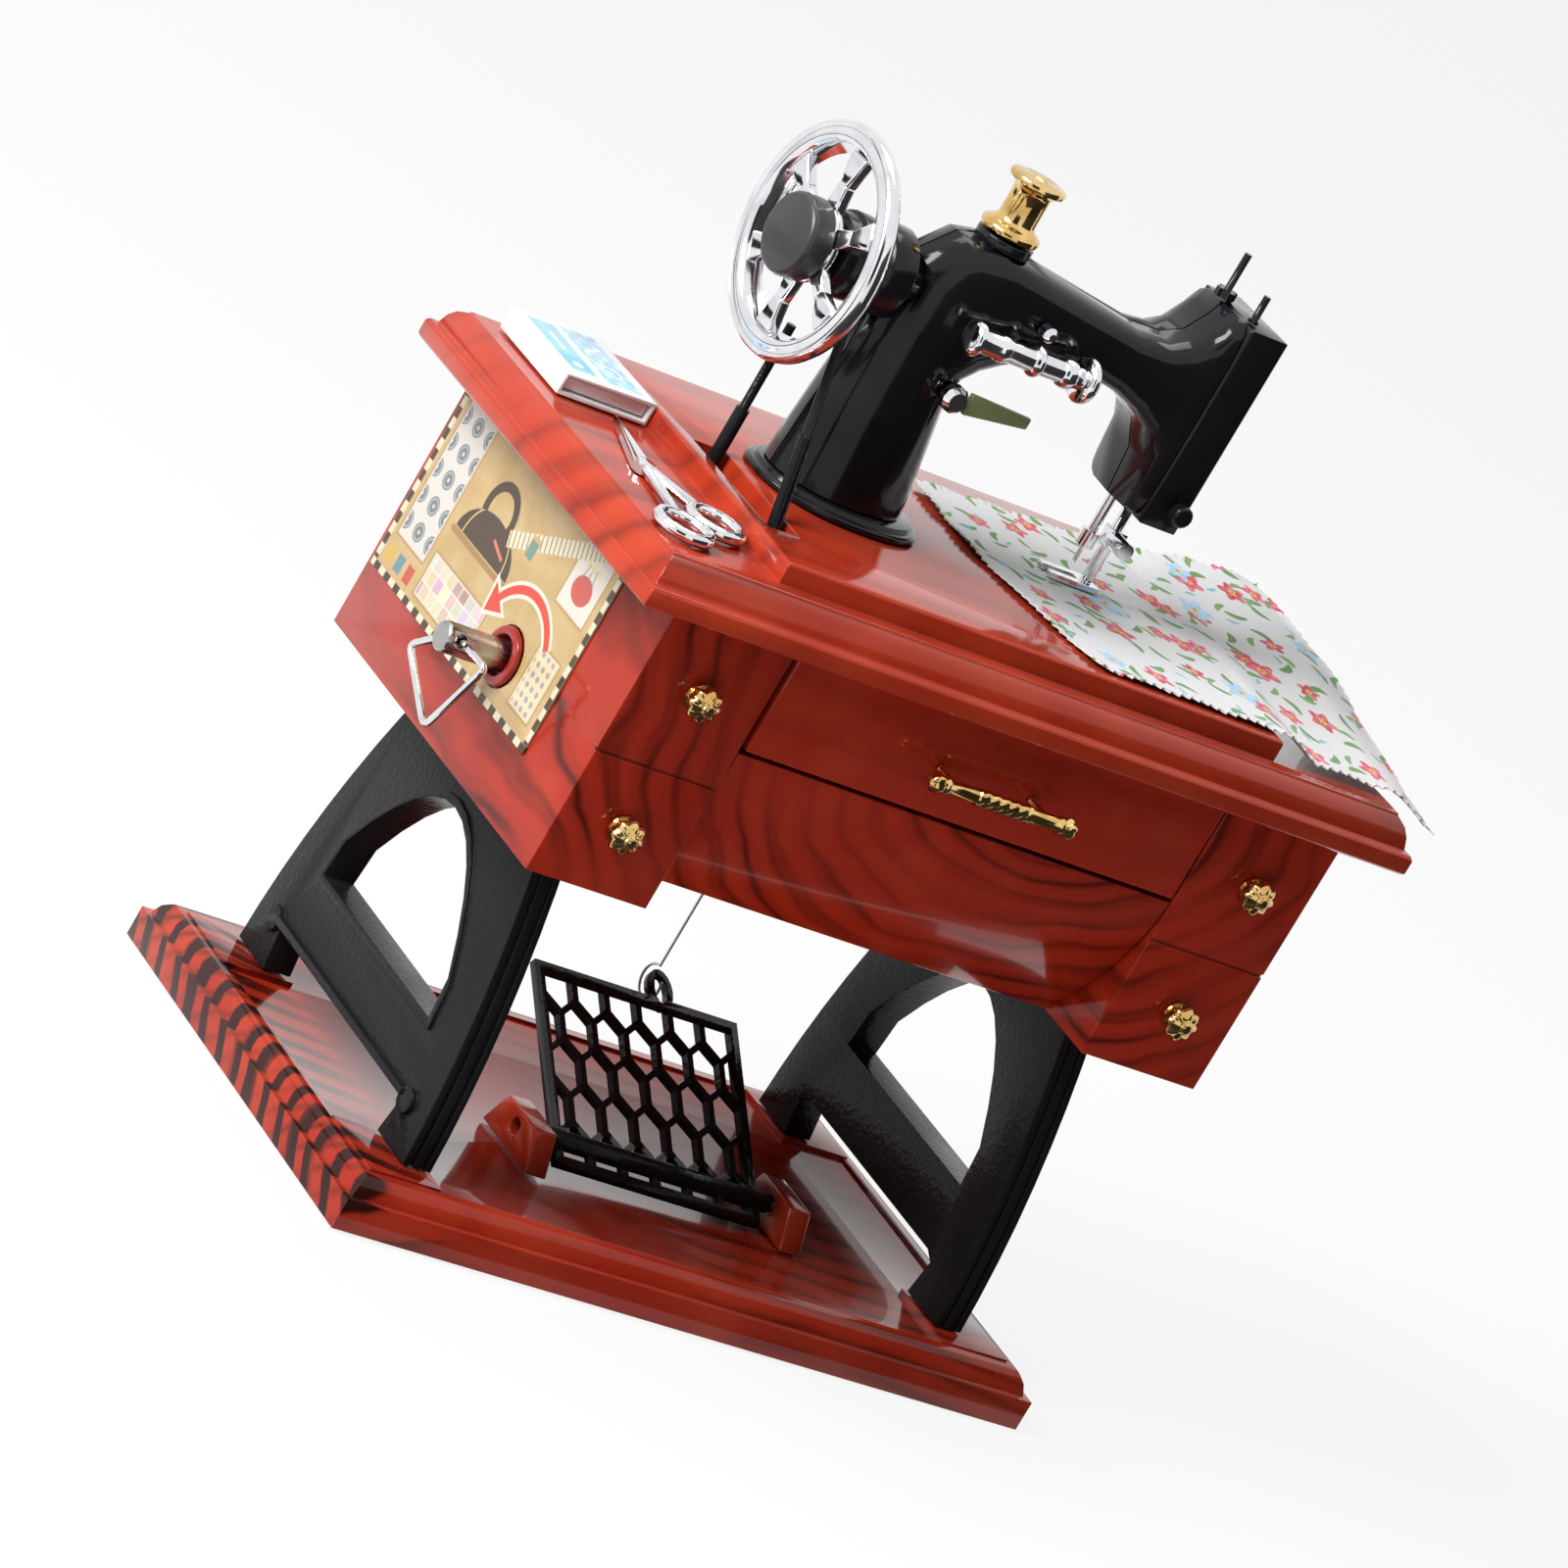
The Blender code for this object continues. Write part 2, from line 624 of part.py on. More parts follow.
def build_foot_screws():
    """One screw up through the base into each foot, its head sunk in the base."""
    head = FOOT_BORE_DEPTH - SEAT
    for x, y in foot_screw_places():
        bm = bmesh.new()
        turned(bm, "Z", (x, y), (
            (SCREW_HEAD_RADIUS * 0.7, head - SCREW_HEAD_HEIGHT),
            (SCREW_HEAD_RADIUS, head - SCREW_HEAD_HEIGHT / 2),
            (SCREW_HEAD_RADIUS, head), (SCREW_SHANK_RADIUS, head), (SCREW_SHANK_RADIUS, head + SCREW_LENGTH)),
            SCREW_STEPS)
        side = "left" if x < 0 else "right"
        end = "front" if y < 0 else "rear"
        as_object(f"foot_screw_{side}_{end}", bm, STEEL)


def leg_edge(inset=0.0):
    """The outer edge of one side of a leg, from the top down."""
    control_y = (LEG_TOP_HALF_WIDTH + LEG_FOOT_HALF_WIDTH) / 2 + LEG_BOW
    start = (LEG_TOP_HALF_WIDTH - inset, LEG_TOP)
    end = (LEG_FOOT_HALF_WIDTH - inset, LEG_BOTTOM)
    return bend(start, (control_y - inset, (LEG_TOP + LEG_BOTTOM) / 2), end, LEG_CURVE_STEPS)


def leg_arch(grow):
    """The outline of the opening, grown by a margin."""
    low = LEG_BOTTOM + LEG_BAR_HIGH - grow
    high = LEG_BOTTOM + LEG_ARCH_TOP + grow
    half = LEG_ARCH_HALF_WIDTH + grow
    shares = [-1 + 2 * i / (LEG_CURVE_STEPS * 2 - 2) for i in range(LEG_CURVE_STEPS * 2 - 1)]
    arch = [(half * share, high - (high - low) * share ** 2) for share in shares[1:-1]]
    corner = LEG_CORNER_RADIUS
    return [(half - corner * 1.2, low), (-half + corner * 1.2, low)] + arch


def build_leg(name, x):
    low, high = x - LEG_THICKNESS / 2, x + LEG_THICKNESS / 2
    foot_in = LEG_FOOT_HALF_WIDTH - LEG_FOOT_WIDTH
    bar = LEG_BOTTOM + LEG_BAR_LOW
    side = leg_edge()
    outline = side + [(foot_in, LEG_BOTTOM), (foot_in + LEG_CORNER_RADIUS / 2, bar - LEG_CORNER_RADIUS / 2),
                      (foot_in - LEG_CORNER_RADIUS / 2, bar)]
    outline += [(-y, z) for y, z in outline[::-1]]
    bm = bmesh.new()
    plate(bm, "X", outline, [leg_arch(0)], low, high)
    leg = as_object(name, bm, BLACK_CAST)
    outer = math.copysign(1, x)
    face = x + outer * LEG_THICKNESS / 2
    detail = bmesh.new()
    sink = face - outer * LEG_RIM_RISE
    plate(detail, "X", leg_arch(LEG_RIM_WIDTH), [leg_arch(0)],
          min(sink, face + outer * LEG_RIM_RISE), max(sink, face + outer * LEG_RIM_RISE))
    join(leg, detail, "rim")
    ledges = bmesh.new()
    ledge_span = (min(sink, face + outer * LEG_LEDGE_RISE), max(sink, face + outer * LEG_LEDGE_RISE))
    ledge_half = foot_in + LEG_SCROLL_RADIUS
    box(ledges, (ledge_span[0], -ledge_half, bar), (ledge_span[1], ledge_half, bar + LEG_LEDGE_HEIGHT))
    join(leg, ledges, "ledge")
    scrolls = bmesh.new()
    scroll_y = ledge_half + LEG_SCROLL_RADIUS * LEG_SCROLL_SHARE
    for y in (-scroll_y, scroll_y):
        rod(scrolls, "X", (y, bar), LEG_SCROLL_RADIUS, min(sink, face + outer * LEG_SCROLL_RISE),
            max(sink, face + outer * LEG_SCROLL_RISE))
    join(leg, scrolls, "scrolls")
    grooves = bmesh.new()
    for offset in (-LEG_GROOVE_SPREAD, LEG_GROOVE_SPREAD):
        for sign in (-1, 1):
            inner = [(sign * y, z) for y, z in leg_edge(LEG_GROOVE_DEPTH)]
            outer_edge = [(sign * y, z) for y, z in leg_edge(-OVERRUN)[::-1]]
            prism(grooves, "X", inner + outer_edge, x + offset - LEG_GROOVE_WIDTH / 2,
                  x + offset + LEG_GROOVE_WIDTH / 2)
    cut(leg, grooves, "grooves")
    bores = bmesh.new()
    for screw_x, y in foot_screw_places():
        if screw_x == x:
            rod(bores, "Z", (x, y), SCREW_SHANK_RADIUS + RUN, LEG_BOTTOM - OVERRUN,
                FOOT_BORE_DEPTH + SCREW_LENGTH + SEAT * 2, SCREW_STEPS)
    cut(leg, bores, "bores")


# Treadle group
def treadle_pivot():
    return Vector((TREADLE_CENTRE_X, TREADLE_PIVOT_Y, BASE_FLOOR + TREADLE_PIVOT_RISE))


def tab_place():
    """World place of the loop tab's hole when the treadle is at rest."""
    reach = TREADLE_LENGTH * (1 - TREADLE_PIVOT_SHARE) + TAB_HALF_LENGTH / 2
    pivot = treadle_pivot()
    return Vector((pivot.x + TAB_OFFSET, pivot.y + reach * math.cos(TREADLE_TILT),
                   pivot.z + reach * math.sin(TREADLE_TILT)))


def clipped(outline, axis, limit, keep_below):
    """Cut a convex outline off at a limit along one of its two directions."""
    kept = []
    for here, after in zip(outline, outline[1:] + outline[:1]):
        inside_here = here[axis] <= limit if keep_below else here[axis] >= limit
        inside_after = after[axis] <= limit if keep_below else after[axis] >= limit
        if inside_here:
            kept.append(here)
        if inside_here != inside_after:
            t = (limit - here[axis]) / (after[axis] - here[axis])
            kept.append(tuple(a + (b - a) * t for a, b in zip(here, after)))
    return kept


def honeycomb(low_u, high_u, low_v, high_v):
    """Rows of six-sided holes that fill a rectangle, with bars of one width between them."""
    pitch_u = (high_u - low_u + TREADLE_BAR) / TREADLE_COLUMNS
    pitch_v = (high_v - low_v + TREADLE_BAR) / (TREADLE_ROWS - 0.4)
    half_u = (pitch_u - TREADLE_BAR) / 2
    slope = pitch_v * 0.36
    flat = pitch_v * 0.32
    gap = TREADLE_BAR * 0.58
    cells = []
    for row in range(TREADLE_ROWS):
        shift = 0.5 if row % 2 else 0
        v = low_v + pitch_v * (row + 0.3) - TREADLE_BAR / 2
        for column in range(-1, TREADLE_COLUMNS + 1):
            u = low_u + pitch_u * (column + 0.5 + shift) - TREADLE_BAR / 2
            cell = [(u, v - flat - slope + gap), (u + half_u, v - flat + gap / 2),
                    (u + half_u, v + flat - gap / 2), (u, v + flat + slope - gap),
                    (u - half_u, v + flat - gap / 2), (u - half_u, v - flat + gap / 2)]
            for axis, limit, keep_below in ((0, low_u, False), (0, high_u, True), (1, low_v, False),
                                            (1, high_v, True)):
                if cell:
                    cell = clipped(cell, axis, limit, keep_below)
            if not cell:
                continue
            wide = max(p[0] for p in cell) - min(p[0] for p in cell)
            tall = max(p[1] for p in cell) - min(p[1] for p in cell)
            if min(wide, tall) > TREADLE_BAR:
                cells.append(cell)
    return cells


def build_treadle():
    half = TREADLE_WIDTH / 2
    front = -TREADLE_LENGTH * TREADLE_PIVOT_SHARE
    back = TREADLE_LENGTH * (1 - TREADLE_PIVOT_SHARE)
    thick = TREADLE_THICKNESS / 2
    bm = bmesh.new()
    outline = [(-half, front), (half, front), (half, back), (-half, back)]
    holes = honeycomb(-half + TREADLE_RIM, half - TREADLE_RIM, front + TREADLE_RIM, back - TREADLE_RIM)
    plate(bm, "Z", outline, holes, -thick, thick)
    treadle = as_object("treadle", bm, BLACK_CAST)
    sleeve = bmesh.new()
    reach = half + BLOCK_GAP
    turned(sleeve, "X", (0, 0), (
        (TREADLE_PIN_RADIUS, -reach - TREADLE_PIN_REACH), (TREADLE_PIN_RADIUS, -reach + SEAT * 2),
        (TREADLE_SLEEVE_RADIUS, -reach + SEAT * 2), (TREADLE_SLEEVE_RADIUS, reach - SEAT * 2),
        (TREADLE_PIN_RADIUS, reach - SEAT * 2), (TREADLE_PIN_RADIUS, reach + TREADLE_PIN_REACH)), 12)
    tools = [join(treadle, sleeve, "sleeve")]
    tab = bmesh.new()
    centre = (TAB_OFFSET, back + TAB_HALF_LENGTH / 2)
    prism(tab, "Z", ellipse(centre, TAB_HALF_WIDTH, TAB_HALF_LENGTH, 16), -thick * 0.9, thick * 0.9)
    tools.append(join(treadle, tab, "tab"))
    hole = bmesh.new()
    prism(hole, "Z", ellipse(centre, TAB_HOLE_HALF_WIDTH, TAB_HOLE_HALF_LENGTH, 12), -thick - OVERRUN,
          thick + OVERRUN)
    tools.append(cut(treadle, hole, "tab_hole"))
    for item in (treadle, *tools):
        item.location = treadle_pivot()
        item.rotation_euler = (TREADLE_TILT, 0, 0)


def build_bearing_block(name, sign):
    pivot = treadle_pivot()
    inner = pivot.x + sign * (TREADLE_WIDTH / 2 + BLOCK_GAP)
    outer = inner + sign * BLOCK_THICKNESS
    low = BASE_FLOOR + SEAT
    half_low, half_high = BLOCK_BOTTOM_LENGTH / 2, BLOCK_TOP_LENGTH / 2
    outline = [(pivot.y - half_low, low), (pivot.y + half_low, low),
               (pivot.y + half_high, low + BLOCK_HEIGHT), (pivot.y - half_high, low + BLOCK_HEIGHT)]
    bm = bmesh.new()
    prism(bm, "X", outline, min(inner, outer), max(inner, outer))
    block = as_object(name, bm, RED_WOOD)
    bore = bmesh.new()
    rod(bore, "X", (pivot.y, pivot.z), TREADLE_PIN_RADIUS + RUN, min(inner, outer) - OVERRUN,
        max(inner, outer) + OVERRUN)
    cut(block, bore, "bore")


def build_pull_wire():
    tab = tab_place()
    first, last = math.radians(150), math.radians(450)
    steps = 16
    route = []
    centre_y = tab.y + WIRE_EYE_RADIUS
    for i in range(steps + 1):
        a = first + (last - first) * i / steps
        route.append((tab.x, centre_y + WIRE_EYE_RADIUS * math.cos(a), tab.z + WIRE_EYE_RADIUS * math.sin(a)))
    top = FLOOR_TOP + WIRE_REACH_IN
    route.append((tab.x, centre_y, tab.z + WIRE_EYE_RISE))
    route.append((tab.x, centre_y, top))
    bm = bmesh.new()
    tube(bm, route, WIRE_RADIUS, 6)
    as_object("pull_wire", bm, STEEL, (tab.x, centre_y, tab.z))


# Cabinet
def apron_curve(inset=0.0):
    """Front face of the apron from the shelf down."""
    low = CABINET_BOTTOM + SEAT
    control_z = low + (SHELF_TOP - low) * APRON_CONTROL_SHARE
    return bend((FRONT_Y + inset, SHELF_TOP - SEAT), (APRON_CONTROL_Y + inset, control_z),
                (APRON_BOTTOM_Y + inset, low), APRON_STEPS)


def post_places():
    """Centres of the screw posts that stand on the cabinet floor."""
    inset = CABINET_WALL + POST_SIDE / 2
    return [(x, y) for x in (LEFT_X + inset, RIGHT_X - inset) for y in (FRONT_Y + inset, REAR_Y - inset)]


def build_cabinet():
    bm = bmesh.new()
    box(bm, (LEFT_X, FRONT_Y, CABINET_BOTTOM), (RIGHT_X, REAR_Y, CABINET_TOP))
    cabinet = as_object("cabinet_body", bm, RED_WOOD)
    wall = CABINET_WALL
    rooms = bmesh.new()
    low, high = CABINET_BOTTOM - OVERRUN, CABINET_TOP + OVERRUN
    box(rooms, (LEFT_X + wall, FRONT_Y + wall, low), (BAY_LEFT_X - wall, REAR_Y - wall, high))
    box(rooms, (BAY_RIGHT_X + wall, FRONT_Y + wall, low), (RIGHT_X - wall, REAR_Y - wall, high))
    box(rooms, (BAY_LEFT_X, FRONT_Y - OVERRUN, low), (BAY_RIGHT_X, REAR_Y - wall, SHELF_BOTTOM))
    box(rooms, (BAY_LEFT_X, FRONT_Y - OVERRUN, SHELF_TOP), (BAY_RIGHT_X, REAR_Y - wall, high))
    cut(cabinet, rooms, "rooms")
    front = bmesh.new()
    box(front, (BAY_LEFT_X, FRONT_Y - OVERRUN, SHELF_BOTTOM - SEAT), (BAY_RIGHT_X, FRONT_Y + SHELF_SETBACK,
        SHELF_TOP + SEAT))
    cut(cabinet, front, "front")
    posts = bmesh.new()
    half = POST_SIDE / 2
    for x, y in post_places():
        wall_x, wall_y = math.copysign(wall / 2, x), math.copysign(wall / 2, y)
        box(posts, (x - half + min(wall_x, 0), y - half + min(wall_y, 0), FLOOR_TOP + SEAT),
            (x + half + max(wall_x, 0), y + half + max(wall_y, 0), CABINET_TOP - POST_SIDE))
    join(cabinet, posts, "posts")
    holes = bmesh.new()
    rod(holes, "X", (KEY_Y, KEY_Z), BUSH_SLEEVE_RADIUS + SEAT, LEFT_X - OVERRUN,
        LEFT_X + wall + OVERRUN / 2, 24)
    cut(cabinet, holes, "key_hole")
    grooves = bmesh.new()
    line = CABINET_BOTTOM + BLOCK_GROOVE_HEIGHT
    for left, right in ((LEFT_X - OVERRUN, BAY_LEFT_X + OVERRUN), (BAY_RIGHT_X - OVERRUN, RIGHT_X + OVERRUN)):
        box(grooves, (left, FRONT_Y - OVERRUN, line), (right, FRONT_Y + BLOCK_GROOVE_DEPTH,
            line + BLOCK_GROOVE_WIDTH))
    cut(cabinet, grooves, "grooves")


def build_cabinet_floor():
    """Three floor plates: one in each block and one behind the apron."""
    wall = CABINET_WALL + SEAT
    front, rear = FRONT_Y + wall, REAR_Y - wall
    apron = APRON_BOTTOM_Y + APRON_THICKNESS + SEAT * 2
    for name, left, right, near in (
            ("cabinet_floor_left", LEFT_X + wall, BAY_LEFT_X - wall, front),
            ("cabinet_floor_middle", BAY_LEFT_X + SEAT, BAY_RIGHT_X - SEAT, apron),
            ("cabinet_floor_right", BAY_RIGHT_X + wall, RIGHT_X - wall, front)):
        bm = bmesh.new()
        box(bm, (left, near, CABINET_BOTTOM), (right, rear, FLOOR_TOP))
        item = as_object(name, bm, RED_WOOD)
        if name == "cabinet_floor_middle":
            tab = tab_place()
            hole = bmesh.new()
            rod(hole, "Z", (tab.x, tab.y + WIRE_EYE_RADIUS), WIRE_RADIUS + RUN * 2, CABINET_BOTTOM - OVERRUN,
                FLOOR_TOP + OVERRUN)
            cut(item, hole, "wire_hole")


def build_apron():
    bm = bmesh.new()
    front = apron_curve()
    back = apron_curve(APRON_THICKNESS)
    back[0] = (back[0][0], SHELF_BOTTOM - SEAT * 2)
    front[0] = (front[0][0], SHELF_TOP - SEAT)
    lip = [(FRONT_Y + SHELF_SETBACK - SEAT, SHELF_TOP - SEAT), (FRONT_Y + SHELF_SETBACK - SEAT,
            SHELF_BOTTOM - SEAT * 2)]
    outline = lip + [point for point in back if point[1] < SHELF_BOTTOM - SEAT * 3] + front[::-1]
    prism(bm, "X", outline, BAY_LEFT_X + SEAT, BAY_RIGHT_X - SEAT)
    as_object("apron_panel", bm, RED_WOOD)


def build_drawer():
    left, right = BAY_LEFT_X + DRAWER_LEFT_GAP, BAY_RIGHT_X - SEAT
    low = SHELF_TOP + SEAT
    bm = bmesh.new()
    box(bm, (left, FRONT_Y, low), (right, FRONT_Y + DRAWER_FRONT_THICKNESS, DRAWER_TOP))
    as_object("drawer_front", bm, RED_WOOD)
    bm = bmesh.new()
    near = FRONT_Y + DRAWER_FRONT_THICKNESS + SEAT
    box_left, box_right = BAY_LEFT_X + DRAWER_LEFT_GAP + DRAWER_RUN, BAY_RIGHT_X - DRAWER_RUN * 2
    high = DRAWER_TOP - DRAWER_SIDE_DROP
    box(bm, (box_left, near, low), (box_right, near + DRAWER_DEPTH, high))
    drawer = as_object("drawer_box", bm, RED_WOOD)
    inside = bmesh.new()
    wall = DRAWER_WALL
    box(inside, (box_left + wall, near + wall, low + wall), (box_right - wall, near + DRAWER_DEPTH - wall,
        high + OVERRUN))
    cut(drawer, inside, "inside")


def build_handle():
    low = SHELF_TOP + SEAT
    z = low + (DRAWER_TOP - low) * HANDLE_RISE_SHARE
    x = (BAY_LEFT_X + BAY_RIGHT_X) / 2
    y = FRONT_Y - HANDLE_STAND
    half = HANDLE_LENGTH / 2
    grip = HANDLE_LENGTH * HANDLE_GRIP_SHARE / 2
    profile = []
    for sign in (-1, 1):
        end = [(HANDLE_BALL_RADIUS * math.sin(a), sign * (half - HANDLE_BALL_RADIUS * (1 - math.cos(a))))
               for a in (0.3, 0.9, 1.6, 2.3)]
        end += [(HANDLE_RADIUS, sign * (half - HANDLE_BALL_RADIUS * 2.2)), (HANDLE_RADIUS, sign * grip)]
        end += [(HANDLE_RADIUS * 1.25, sign * grip * share) for share in (0.96, 0.04)]
        profile += end if sign < 0 else end[::-1]
    bm = bmesh.new()
    turned(bm, "X", (y, z), [(radius, x + along) for radius, along in profile], 12)
    handle = as_object("drawer_handle", bm, GOLD)
    posts = bmesh.new()
    for sign in (-1, 1):
        rod(posts, "Y", (x + sign * half * HANDLE_POST_SHARE, z), HANDLE_POST_RADIUS, y, FRONT_Y - SEAT, 8)
    join(handle, posts, "posts")


def build_knobs():
    for side, x in (("left", -KNOB_X), ("right", KNOB_X)):
        for level, rise in (("upper", CABINET_HEIGHT * KNOB_HIGH_SHARE),
                            ("lower", CABINET_HEIGHT * KNOB_LOW_SHARE)):
            bm = bmesh.new()
            turned(bm, "Y", (x, CABINET_BOTTOM + rise),
                   shaped(KNOB_PROFILE_SHARES, KNOB_RADIUS, FRONT_Y - SEAT, -KNOB_RISE), 10)
            as_object(f"knob_{side}_{level}", bm, GOLD)


# Label, bush and key
def build_label():
    outer = LEFT_X - LABEL_GAP
    low = CABINET_BOTTOM + CABINET_HEIGHT * LABEL_LOW_SHARE
    high = CABINET_BOTTOM + CABINET_HEIGHT * LABEL_HIGH_SHARE
    bm = bmesh.new()
    outline = [(LABEL_FRONT_Y, low), (LABEL_REAR_Y, low), (LABEL_REAR_Y, high), (LABEL_FRONT_Y, high)]
    hole = ellipse((KEY_Y, KEY_Z), BUSH_RADIUS + SEAT, BUSH_RADIUS + SEAT, 24)
    plate(bm, "X", outline, [hole], outer - LABEL_THICKNESS, outer)
    as_object("side_label", bm, CREAM)


def build_bush():
    face = LEFT_X - SEAT
    inner = LEFT_X + CABINET_WALL
    bm = bmesh.new()
    turned(bm, "X", (KEY_Y, KEY_Z), (
        (BUSH_RADIUS, face), (BUSH_RADIUS, face - BUSH_FLANGE * 0.7),
        (BUSH_RADIUS * 0.92, face - BUSH_FLANGE),
        (BUSH_BORE_RADIUS, face - BUSH_FLANGE), (BUSH_BORE_RADIUS, inner), (BUSH_SLEEVE_RADIUS, inner),
        (BUSH_SLEEVE_RADIUS, face)), 24, closed=True)
    as_object("key_bush", bm, BUSH_RED)


def key_hole_place():
    return Vector((LEFT_X - KEY_REACH_OUT + KEY_HOLE_INSET, KEY_Y, KEY_Z))


def build_key():
    out = LEFT_X - KEY_REACH_OUT
    inner = LEFT_X - BUSH_FLANGE + KEY_REACH_IN
    bm = bmesh.new()
    socket = ARBOR_RADIUS + RUN
    turned(bm, "X", (0, 0), (
        (KEY_RADIUS - KEY_CHAMFER, out), (KEY_RADIUS, out + KEY_CHAMFER), (KEY_RADIUS, inner),
        (socket, inner), (socket, inner - KEY_SOCKET_DEPTH)), 20)
    key = as_object("winding_key", bm, BRASS)
    hole = bmesh.new()
    rod(hole, "Y", (out + KEY_HOLE_INSET, 0), KEY_HOLE_RADIUS, -KEY_RADIUS - OVERRUN, KEY_RADIUS + OVERRUN)
    tool = cut(key, hole, "cross_hole")
    for item in (key, tool):
        item.location = (0, KEY_Y, KEY_Z)
        item.rotation_euler = (KEY_ROLL, 0, 0)
    corners = [(-RING_HALF_WIDTH, -RING_SHOULDER_DROP), (0, -RING_DROP),
               (RING_HALF_WIDTH, -RING_SHOULDER_DROP)]
    loop = rounded([(-KEY_RADIUS, 0), *corners, (KEY_RADIUS, 0)], RING_CORNER_RADIUS, RING_CORNER_STEPS)
    bm = bmesh.new()
    tube(bm, [(0, u, w) for u, w in loop], RING_WIRE_RADIUS, 8, closed=True)
    ring = as_object("key_ring", bm, CHROME)
    ring.location = key_hole_place()
    ring.rotation_euler = (KEY_ROLL, 0, 0)


# Music movement inside the left block
def gear_outline(radius, teeth):
    """Toothed outline of a thin wheel."""
    points = []
    for i in range(teeth * 2):
        a = math.pi * i / teeth
        reach = radius if i % 2 else radius - GEAR_TOOTH
        points.append((reach * math.cos(a), reach * math.sin(a)))
    return points


def build_movement():
    low, high = CABINET_BOTTOM + PLATE_LOW, CABINET_BOTTOM + PLATE_HIGH
    bm = bmesh.new()
    outline = [(PLATE_FRONT_Y, low), (PLATE_REAR_Y, low), (PLATE_REAR_Y, high), (PLATE_FRONT_Y, high)]
    arbor_hole = ellipse((KEY_Y, KEY_Z), ARBOR_RADIUS + RUN, ARBOR_RADIUS + RUN, 12)
    face = MOVEMENT_X + PLATE_THICKNESS
    plate(bm, "X", outline, [arbor_hole], MOVEMENT_X, face)
    bed = as_object("movement_bedplate", bm, STEEL)
    # The cylinder's cheek and the comb's seat stand on the plate
    cylinder_y = KEY_Y + BARREL_RADIUS + CYLINDER_PINION_LENGTH
    axis_x = face + CYLINDER_X_RISE
    cheeks = bmesh.new()
    cheek = BRIDGE_THICKNESS
    far_y = cylinder_y + CYLINDER_LENGTH + RUN
    box(cheeks, (face - SEAT, far_y, KEY_Z - CHEEK_REACH),
        (axis_x + CHEEK_REACH, far_y + cheek, KEY_Z + CHEEK_REACH))
    comb_z = KEY_Z - CYLINDER_RADIUS - CYLINDER_PIN_RISE
    seat_z = comb_z - COMB_TOOTH_LENGTH
    box(cheeks, (face - SEAT, cylinder_y, seat_z - COMB_BACK), (axis_x - COMB_THICKNESS / 2 - SEAT,
        cylinder_y + CYLINDER_LENGTH, seat_z))
    join(bed, cheeks, "cheeks")
    bores = bmesh.new()
    rod(bores, "Y", (axis_x, KEY_Z), ARBOR_RADIUS + RUN, far_y - OVERRUN, far_y + cheek + OVERRUN)
    cut(bed, bores, "bores")

    bm = bmesh.new()
    out = LEFT_X - BUSH_FLANGE + KEY_REACH_IN - KEY_SOCKET_DEPTH + SEAT * 2
    rod(bm, "X", (KEY_Y, KEY_Z), ARBOR_RADIUS, out, face + SEAT + BARREL_HEIGHT * 0.8)
    as_object("winding_arbor", bm, STEEL)

    base = face + SEAT
    bm = bmesh.new()
    bore = ARBOR_RADIUS + RUN
    rings = [gear_outline(BARREL_RADIUS, BARREL_TEETH)]
    small = [(u * 0.88, v * 0.88) for u, v in rings[0]]
    loft(bm, [[place("X", KEY_Y + u, KEY_Z + v, base + rise) for u, v in points] for points, rise in (
        (rings[0], 0), (rings[0], BARREL_GEAR_HEIGHT), (small, BARREL_GEAR_HEIGHT), (small, BARREL_HEIGHT))])
    barrel = as_object("spring_barrel", bm, BRASS, (base, KEY_Y, KEY_Z))
    hole = bmesh.new()
    rod(hole, "X", (KEY_Y, KEY_Z), bore, base - OVERRUN, base + BARREL_HEIGHT * 0.8 + SEAT, 12)
    cut(barrel, hole, "bore")

    bm = bmesh.new()
    shapes = [(CYLINDER_PINION_RADIUS, cylinder_y - CYLINDER_PINION_LENGTH + SEAT),
              (CYLINDER_PINION_RADIUS, cylinder_y), (CYLINDER_RADIUS, cylinder_y),
              (CYLINDER_RADIUS, cylinder_y + CYLINDER_LENGTH), (ARBOR_RADIUS, cylinder_y + CYLINDER_LENGTH),
              (ARBOR_RADIUS, far_y + cheek)]
    turned(bm, "Y", (axis_x, KEY_Z), shapes, 24)
    drum = as_object("music_cylinder", bm, BRASS, (axis_x, cylinder_y, KEY_Z))
    pins = bmesh.new()
    pin = CYLINDER_PIN_RISE
    for row in range(CYLINDER_PIN_ROWS):
        for turn in range(4):
            a = row * 2.4 + turn * math.pi / 2 + 0.4
            y = cylinder_y + CYLINDER_LENGTH * (row + 0.5) / CYLINDER_PIN_ROWS
            u = axis_x + (CYLINDER_RADIUS - pin / 2) * math.cos(a)
            w = KEY_Z + (CYLINDER_RADIUS - pin / 2) * math.sin(a)
            tip_u = axis_x + (CYLINDER_RADIUS + pin) * math.cos(a)
            tip_w = KEY_Z + (CYLINDER_RADIUS + pin) * math.sin(a)
            tube(pins, [(u, y, w), (tip_u, y, tip_w)], pin / 2, 4)
    join(drum, pins, "pins")

    bm = bmesh.new()
    pitch = CYLINDER_LENGTH / COMB_TEETH
    back = seat_z - COMB_BACK
    tooth = pitch * 0.36
    comb = [(cylinder_y, back), (cylinder_y + CYLINDER_LENGTH, back)]
    for i in range(COMB_TEETH - 1, -1, -1):
        y = cylinder_y + pitch * (i + 0.5)
        tip = comb_z - RUN - SEAT
        comb += [(y + tooth, seat_z), (y + tooth * 0.6, tip), (y - tooth * 0.6, tip), (y - tooth, seat_z)]
    plate(bm, "X", comb, [], axis_x - COMB_THICKNESS / 2, axis_x + COMB_THICKNESS / 2)
    as_object("tone_comb", bm, STEEL)

